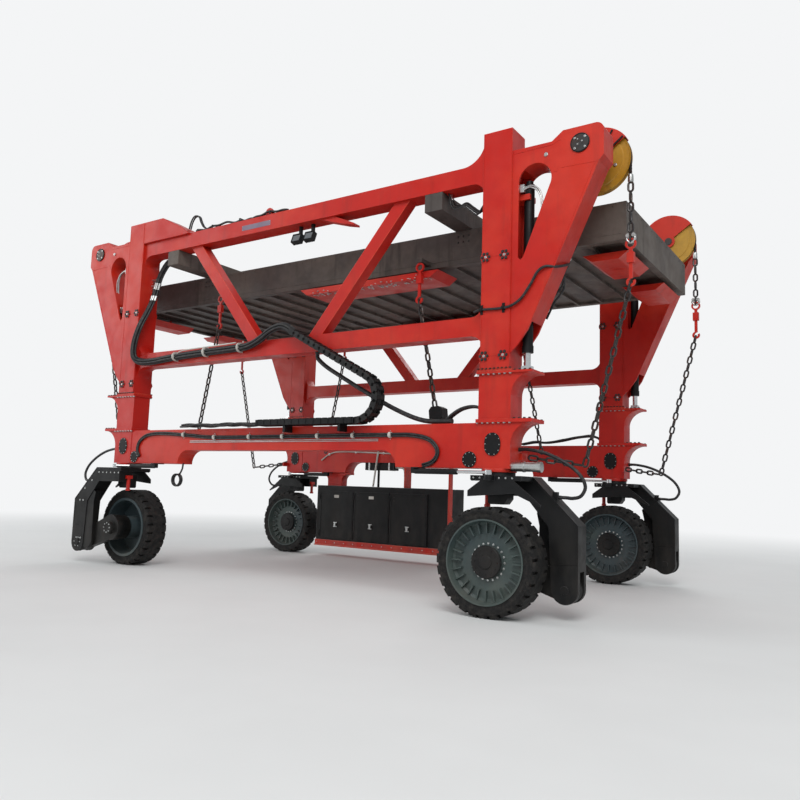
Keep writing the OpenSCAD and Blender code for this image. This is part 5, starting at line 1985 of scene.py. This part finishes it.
    def beam_stands(self) -> list[Part]:
        """Foot, upright and arm of each stand that keeps the hoses on the top beam.

        Returns:
            Three boxes for each stand.
        """
        foot, upright = ((-3.24, 0.0), (-2.97, 0.015)), ((-3.24, 0.0), (-3.225, 0.12))
        sides = (foot, upright, ((-3.24, 0.11), (-2.99, 0.12)))
        return [
            box((x - 0.02, low[0], self.beam_top + low[1]), (x + 0.02, high[0], self.beam_top + high[1]))
            for x in self.stand_x
            for low, high in sides
        ]

    def ear_loops(self) -> list[Part]:
        """Three hoses that sag under the top beam's right end.

        Returns:
            The three hoses.
        """
        parts = []
        for k, (y, radius) in enumerate(((-3.06, 0.021), (-3.12, 0.021), (-3.18, 0.016))):
            low = 0.05 * k
            loop = [
                (3.90, 7.54), (3.96, 7.38 - low), (4.08, 7.31 - low), (4.22, 7.34 - low),
                (4.36, 7.23 - low), (4.50, 7.13 - low), (4.62, 7.17), (4.73, 7.25),
            ]
            parts.append(tube(flat_route(y, loop), radius, 10))
        return parts

    def knee(self, k: int) -> np.ndarray:
        """Where hose k behind the near right ear has its coupling."""
        return np.array([6.11 - 0.05 * k, -2.84 + 0.045 * k, 5.98])

    def ear_drops(self) -> list[Part]:
        """Four hoses that come down behind the near right ear.

        Returns:
            The four hoses.
        """
        parts = []
        for k in range(4):
            x, y, z = self.knee(k)
            drop = [
                (6.27, 6.62), (6.19, 6.30), (x, z), (5.98, 5.76 - 0.05 * k), (5.80, 5.62 - 0.09 * k),
                (5.66, 5.38 - 0.1 * k),
            ]
            parts.append(tube(flat_route(y, drop), 0.020, 10))
        return parts

    def couplings(self) -> list[Part]:
        """Bright sleeves on the bundle, at the left leg, under the top beam and behind the ear.

        Returns:
            The sleeves.
        """
        route = self.leg_route()
        parts = [bundle(route[a:b], self.across, self.sleeve_r) for a, b in ((16, 20), (22, 25))]
        for k in range(5):
            z = 6.72 + 0.075 * k
            ends = [(-4.72, -3.02 - 0.02 * (k % 3), z), (-4.60, -3.03 - 0.03 * (k % 2), z)]
            parts.append(tube(ends, 0.026, 12, AXIS_Z))
        parts.append(tube([(3.905, -3.12, 7.53), (3.945, -3.12, 7.42)], 0.034, 12))
        for k in range(4):
            knee = self.knee(k)
            parts.append(tube([knee + (0.03, 0, 0.09), knee - (0.05, 0, 0.05)], self.hose_r, 12))
        return parts

    def hoses(self) -> None:
        """Adds all hoses of the upper frame with their stands, couplings and clips."""
        hoses, stands, sleeves, pipe = sculpts(4)
        hoses.add_all(self.beam_hoses())
        hoses.add(bundle(self.leg_route(), self.across, self.hose_r))
        hoses.add_all(self.ear_loops() + self.ear_drops())
        hoses.add(tube(smooth_route(self.cross_leg, 6), 0.023, 12))
        stands.add_all(self.beam_stands())
        stands.add_all([hose_clip((x, -3.41, 5.19), 0.023) for x in (4.74, 5.16)])
        sleeves.add_all(self.couplings())
        pipe.add(tube(smooth_route(self.pipe, 6), 0.014, 8))
        for x, z in ((-3.25, 4.925), (-2.24, 4.96), (-1.16, 4.98)):
            pipe.add(hose_clip((x, -3.385, z), 0.096, 0.035))
        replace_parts(hoses.make("upper_hoses", HOSE, Body.UPPER), "hose_bundle")
        stands.make("hose_stands", BLACK, Body.UPPER, bevel=0.002)
        sleeves.make("hose_couplings", ZINC, Body.UPPER)
        pipe.make("bundle_clips", PALE, Body.UPPER, bevel=0.001)

    def welds(self) -> None:
        """Adds the weld beads at the braces' feet and heads, on both sides."""
        m = MACHINE
        beads = Sculpt()
        for side in (-1, 1):
            for s in (-1, 1):
                for y in (-0.13, 0.13):
                    at = side * m.leg_y + y
                    beads.add(weld([(s * 0.67, at, m.mid_z[1]), (s * 1.03, at, m.mid_z[1])]))
                    beads.add(weld([(s * 2.72, at, m.top_z[0]), (s * 3.08, at, m.top_z[0])]))
        beads.make("brace_welds", RED, Body.UPPER)

    def build(self) -> None:
        """Adds all of it."""
        self.lamps()
        self.plate()
        self.hoses()
        self.welds()


@dataclass(frozen=True)
class PlatformTrim:
    """Bolts and weld beads of the roof platform."""

    edge_in: float = 0.25
    edge_z: float = 7.13
    girder_x: float = 3.65

    def build(self) -> None:
        """Adds the weld beads on the sides, the girders' bolts and the rows along the edges."""
        m = MACHINE
        beads, bolts = sculpts(2)
        half_x, half_y = m.platform_half
        for side in (-1, 1):
            y = side * half_y
            beads.weld([(-half_x + 0.1, y, 6.62), (half_x - 0.1, y, 6.62)], 0.006)
            for x in (-self.girder_x, self.girder_x):
                spots = [(x + a, y, 7.02 + b) for a in (-0.12, 0, 0.12) for b in (-0.06, 0.06)]
                bolts.bolts(spots, (0, side, 0), 0.018)
            left, right = -half_x + self.edge_in, half_x - self.edge_in
            spots = between((left, y, self.edge_z), (right, y, self.edge_z), 36)
            bolts.bolts(spots, (0, side, 0), 0.010)
        for side in (-1, 1):
            x = side * half_x
            spots = between((x, -half_y + 0.2, self.edge_z), (x, half_y - 0.2, self.edge_z), 12)
            bolts.bolts(spots, (side, 0, 0), 0.010)
        beads.make("platform_welds", PLATFORM, Body.UPPER)
        bolts.make("platform_bolts", OILED, Body.UPPER)


# Wheels and knuckles


@dataclass(frozen=True)
class WheelTrim:
    """Hub bolts, hub cover with its valve, rim lip, sidewall rings and sipes of one wheel."""

    corner: Corner
    hub_bolts: int = 20
    hub_bolt_r: float = 0.297
    cover: tuple[Pair, ...] = (
        (0.001, -0.100), (0.268, -0.100), (0.268, -0.192), (0.256, -0.204), (0.120, -0.208),
        (0.105, -0.226), (0.030, -0.231), (0.001, -0.231),
    )
    lip: tuple[Pair, ...] = ((0.699, -0.272), (0.699, -0.2795), (0.690, -0.2795), (0.690, -0.272))
    rings: tuple[Pair, ...] = ((0.735, 0.010), (0.790, 0.006), (0.812, 0.006))
    sipes: int = 84

    def walls(self) -> Sculpt:
        """Raised rings on both sidewalls, and shallow sipes spaced evenly round the tread.

        A ring's Y follows the wall, which leans out by a fixed share of its radius.

        Returns:
            The rings and sipes.
        """
        m, place, walls = MACHINE, self.corner.hub(), Sculpt()
        for side in (-1, 1):
            for radius, width in self.rings:
                y = side * (m.tyre_half_w - 0.0160 + (radius - m.rim_r) * 0.106)
                ring = [[radius - width / 2, y], [radius - width / 4, y + side * 0.004]]
                ring += [[radius + width / 4, y + side * 0.004], [radius + width / 2, y + side * 0.001]]
                ring.append([radius, y - side * 0.004])
                walls.add(lathe(ring, 96), place)
        sipe = box((-0.006, -0.118, m.tyre_r - 0.0035), (0.006, 0.118, m.tyre_r - 0.0005))
        turns = [np.array(Matrix.Rotation(angle, 4, "Y")) for angle in full_turn(self.sipes)]
        return walls.add(copies(sipe, np.array(turns)), place)

    def build(self) -> None:
        """Adds the pieces on the disc's open side and both sidewalls."""
        place, name = self.corner.hub(), self.corner.name
        body = f"wheel_{name}"
        bolts, cover, rim = sculpts(3)
        bolts.bolts(on_circle((0, -0.102, 0), self.hub_bolt_r, self.hub_bolts), (0, -1, 0), 0.019, place)
        cover.add(lathe(self.cover, 48, closed=False), place)
        cover.bolts(on_circle((0, -0.205, 0), 0.205, 12), (0, -1, 0), 0.013, place)
        valve = [(0.60, -0.128, 0), (0.605, -0.15, 0), (0.625, -0.175, 0), (0.64, -0.20, 0)]
        cover.add(tube(smooth_route(valve, 4), 0.007, 8), place)
        rim.add(lathe(self.lip, 96), place)
        bolts.make(f"hub_bolts_{name}", ZINC, body)
        cover.make(f"hub_cover_{name}", BLACK, body)
        rim.make(f"rim_lip_{name}", PALE, body)
        self.walls().make(f"tyre_rings_{name}", TYRE, body)


@dataclass(frozen=True)
class KnuckleTrim:
    """Bolts, seams, inner web and valve of one knuckle, and a black block that fills the arch over its
    tyre as painted shade.
    """

    corner: Corner
    cheek: Pair = (0.14, 0.51)
    cheek_bolts: tuple[Pair, ...] = (
        (1.00, 1.51), (1.13, 1.51), (1.00, 0.60), (1.13, 0.60), (0.96, 1.80), (0.70, 2.00),
    )
    web: tuple[Pair, ...] = (
        (0.55, 1.72), (0.60, 1.50), (0.575, 0.52), (0.72, 0.37), (0.95, 0.37), (0.95, 1.45),
        (0.74, 1.83),
    )
    # Painted shade: a black block that fills the arch between the tyre and the knuckle's top, where the
    # shade falls.
    foot: tuple[Pair, ...] = (
        (-0.14, 2.16), (-0.14, 1.87), (-0.11, 1.84), (0.15, 1.84), (0.22, 1.93), (0.22, 2.16),
    )

    def build(self) -> None:
        """Adds the trim on the knuckle's faces."""
        place, name = self.corner.kingpin(), self.corner.name
        body = f"knuckle_{name}"
        bolts, beads, valve, web_and_shade_block = sculpts(4)
        outer = self.cheek[1]
        for x, z in self.cheek_bolts:
            bolts.bolts([(x, outer, z)], AXIS_Y, 0.022, place)
        bolts.bolts(on_circle((1.13, outer, 0.5), 0.115, 6), AXIS_Y, 0.014, place)
        bolts.bolts(on_circle((0, outer, 0.9), 0.11, 8), AXIS_Y, 0.016, place)
        bolts.bolts(between((-0.32, -0.33, 2.28), (0.40, -0.33, 2.28), 7), (0, -1, 0), 0.016, place)
        bolts.bolts(between((-0.30, outer, 2.20), (0.45, outer, 2.20), 6), AXIS_Y, 0.018, place)
        for y in self.cheek:
            beads.add(weld([(0.88, y, 0.90), (1.35, y, 0.92)]), place)
            beads.weld([(0.58, y, 2.27), (1.33, y, 1.54), (1.34, y, 0.92)], 0.006, place)
        beads.weld([(-0.38, -0.295, 2.235), (0.42, -0.295, 2.235)], 0.008, place)
        web_and_shade_block.add(prism(self.web, 0.34, 0.495), place)
        # The black block in the arch over the tyre stands for the shade there: painted shade.
        web_and_shade_block.add(prism(self.foot, -0.13, 0.13), place)
        valve.add(box((-0.39, 0.17, 2.06), (-0.29, 0.33, 2.14)), place)
        valve.add(tube([(-0.34, 0.25, 2.07), (-0.34, 0.25, 1.80)], 0.042, 16), place)
        valve.add(tube([(-0.34, 0.25, 1.83), (-0.34, 0.25, 1.78)], 0.055, 16), place)
        bolts.make(f"knuckle_bolts_{name}", ZINC, body)
        beads.make(f"knuckle_welds_{name}", BLACK, body)
        valve.make(f"valve_{name}", RED, body, bevel=0.003)
        web_and_shade_block.make(f"arm_web_{name}", BLACK, body, bevel=0.006)


# Power pack


@dataclass(frozen=True)
class PackTrim:
    """Folds, latches, blank marks, pipes, straps and grille of the power pack.

    A latch row holds half its length, its far and near Y from the door's face, and its low and high Z.
    """

    door_l: float = 1.22
    door_gap: float = 0.03
    door_in: float = 0.15
    fold_in: float = 0.03
    fold_w: float = 0.02
    fold_z: Pair = (0.55, 1.85)
    latch: tuple[tuple[float, ...], ...] = (
        (0.062, 0.031, 0.024, 0.86, 0.885),
        (0.062, 0.031, 0.024, 0.975, 1.0),
        (0.030, 0.050, 0.036, 0.88, 0.98),
    )
    back: float = 3.50
    louvres: int = 22
    panels: tuple[Pair, ...] = ((-3.7, -3.05), (-1.05, -0.3), (-0.2, 0.6))
    rail: tuple[Pair, ...] = ((-3.90, 2.80), (-3.60, 2.98), (-3.2, 3.06), (-2.2, 3.04), (-1.05, 3.00))
    tail: tuple[Pair, ...] = (
        (-1.30, 2.62), (-1.12, 2.62), (-1.02, 2.58), (-0.985, 2.48), (-0.98, 2.36),
    )
    strap: tuple[tuple[Pair, Pair], ...] = (
        ((2.938, 2.524), (3.232, 2.530)),
        ((2.938, 2.524), (2.944, 2.76)),
        ((3.226, 2.524), (3.232, 2.76)),
    )

    def door(self, index: int, name: str) -> None:
        """Adds one door's folded edges, latch and hinge screws, and the blank mark that two have.

        Args:
            index: the door's number from the left.
            name: its name.
        """
        face, body = MACHINE.pack_face, f"pack_door_{name}"
        x0 = MACHINE.pack_x[0] + self.door_in + index * (self.door_l + self.door_gap)
        folds, marks, latch, screws = sculpts(4)
        left, right, low, high = x0 + self.fold_in, x0 + self.door_l - self.fold_in, *self.fold_z
        w = self.fold_w
        for (xa, za), (xb, zb) in (
            ((left, low), (right, low + w)),
            ((left, high - w), (right, high)),
            ((left, low), (left + w, high)),
            ((right - w, low), (right, high)),
        ):
            folds.add(box((xa, face - 0.006, za), (xb, face, zb)))
        middle = x0 + self.door_l / 2
        for half, far, near, za, zb in self.latch:
            latch.add(box((middle - half, face - far, za), (middle + half, face - near, zb)))
        latch.add(tube([(middle, face - 0.036, 0.93), (middle, face - 0.020, 0.93)], 0.016, 12, AXIS_X))
        if name != "right":
            marks.add(box((middle - 0.085, face - 0.004, 1.70), (middle + 0.085, face, 1.78)))
            marks.make(f"door_mark_{name}", PALE, body, bevel=0.001)
        screws.bolts([(x0 + 0.14, face, z) for z in (0.62, 0.72, 1.68, 1.78)], (0, -1, 0), 0.010)
        folds.make(f"door_folds_{name}", BLACK, body, bevel=0.0015)
        latch.make(f"door_latch_{name}", ZINC, body, bevel=0.002)
        screws.make(f"door_screws_{name}", OILED, body)

    def grille(self, bolts: Sculpt) -> Sculpt:
        """Louvres and panels of the far face.

        Args:
            bolts: takes the panels' bolts.

        Returns:
            The louvres and panels.
        """
        grille, back = Sculpt(), self.back
        for row in range(self.louvres):
            z = 0.70 + row * 0.052
            grille.add(box((-2.9, back, z), (-1.2, back + 0.012, z + 0.030)))
        for x0, x1 in self.panels:
            grille.add(box((x0, back, 0.62), (x1, back + 0.008, 1.92)))
            rows = [(x, back + 0.008, z) for x in (x0 + 0.05, x1 - 0.05) for z in (0.67, 1.27, 1.87)]
            bolts.bolts(rows, AXIS_Y, 0.010)
        return grille

    def housing(self) -> None:
        """Adds the far face's grille, the pale pipes above the pack, and the straps and bolts."""
        pipes, straps, bolts = sculpts(3)
        grille, y = self.grille(bolts), 2.875
        pipes.add(tube(flat_route(y, self.rail, 8), 0.020, 12))
        pipes.add(tube(between((-1.94, y, 2.06), (-1.78, y, 3.20), 8), 0.028, 14))
        rail_x, rail_z = zip(*self.rail[1:])
        for x in (-3.6, -2.6, -1.6):
            z = float(np.interp(x, rail_x, rail_z))
            straps.add(box((x - 0.02, 2.86, z - 0.03), (x + 0.02, 2.906, z + 0.03)))
        for x in (-2.15, -1.45):
            for low, high in self.strap:
                straps.add(box((x - 0.025, *low), (x + 0.025, *high)))
        pipes.add(tube(flat_route(3.08, self.tail), 0.035, 14))
        bolts.bolts(between((-3.72, 2.60, 0.40), (0.62, 2.60, 0.40), 14), (0, -1, 0), 0.014)
        grille.make("pack_grille", BLACK, Body.FAR, bevel=0.002)
        pipes.make("pack_pipes", PALE, Body.FAR)
        straps.make("silencer_straps", ZINC, Body.FAR, bevel=0.001)
        bolts.make("pack_bolts", ZINC, Body.FAR)

    def build(self) -> None:
        """Adds all of it."""
        for index, name in enumerate(("left", "middle", "right")):
            self.door(index, name)
        self.housing()


# The frame's own nodes


@dataclass(frozen=True)
class NodeFinishes:
    """The finish of each carried-over node, by its material slot, which have softened edges, and the
    painted highlight on the broken red and black edges.
    """

    finishes: tuple[Finish, ...] = (
        RED, BLACK, PLATFORM, MAST, CHROME, OILED, YELLOW, WHEEL, TYRE, HOSE, IRON,
    )
    plates: tuple[str, ...] = (
        "near_side_beam", "far_side_beam", "near_leg_bases", "far_leg_bases", "sleeve_legs", "ears",
        "mid_beams", "top_beams", "braces", "pack_sill", "cross_girders", "platform_sides",
        "platform_ends", "platform_bars", "power_pack", "door_left", "door_middle", "door_right",
        "near_masts", "far_masts", "knuckle_near_right", "knuckle_near_left", "knuckle_far_right",
        "knuckle_far_left",
    )
    edge: float = 0.010
    sharp_above: float = 50.0
    merge: float = 0.0002
    # Lighter copies of the red and black paint, laid on broken edges as painted highlight.
    highlighted: tuple[tuple[str, Finish], ...] = ((RED.name, RED_EDGE_HIGHLIGHT), (BLACK.name, BLACK_EDGE_HIGHLIGHT))

    def soften(self, node: Piece) -> None:
        """Breaks a node's plate edges so that they catch the light, without moving its faces, and gives
        the broken red and black edges a lighter paint as painted highlight.

        Args:
            node: the node's object.
        """
        joined = node.modifiers.new("joined corners", "WELD")
        joined.merge_threshold = self.merge
        broken = break_edges(node, self.edge, self.sharp_above)
        # The faces of the broken edges of red and black nodes take the lighter copy: a painted
        # highlight.
        highlight_finish = dict(self.highlighted).get(node.data.materials[0].name)
        if highlight_finish is not None:
            node.data.materials.append(highlight_finish.material())
            broken.material = 1

    def apply(self, frame: dict) -> None:
        """Gives every node its finish and softens the plates.
        """
        finishes = {finish.slot: finish for finish in self.finishes}
        slots = {part["node"]: part["material_slot"] for part in frame["record"]["subparts"]}
        for name, node in frame["nodes"].items():
            finish = finishes[slots[name]]
            node.data.materials.clear()
            node.data.materials.append(finish.material())
            if name in self.plates:
                self.soften(node)


class Assembly(Protocol):
    """A group of pieces that builds itself."""

    def build(self) -> None:
        """Adds its pieces to the scene."""


def report(assembly: Assembly) -> None:
    """Builds one assembly and logs each piece that it adds.

    Args:
        assembly: the assembly.
    """
    known = set(bpy.data.objects.keys())
    assembly.build()
    for piece in bpy.data.objects:
        if piece.name not in known:
            log.info("%s: %s", type(assembly).__name__, piece.name)


def main() -> None:
    """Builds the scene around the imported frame, in order."""
    logging.basicConfig(level=logging.INFO, format="%(message)s")
    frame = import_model()
    report(Studio())
    for hose in free_hoses():
        report(hose)
    NodeFinishes().apply(frame)
    for corner in CORNERS:
        for trim in (LowerFrameTrim, SleeveTrim, EarTrim, WheelTrim, KnuckleTrim):
            report(trim(corner))
        if corner.sx < 0:
            report(HeadHaunch(corner))
    for trim in (NearBeamLines, CableTray, Rigging, EnergyChainBand, UpperLines, PlatformTrim, PackTrim):
        report(trim())


if __name__ == "__main__":
    main()
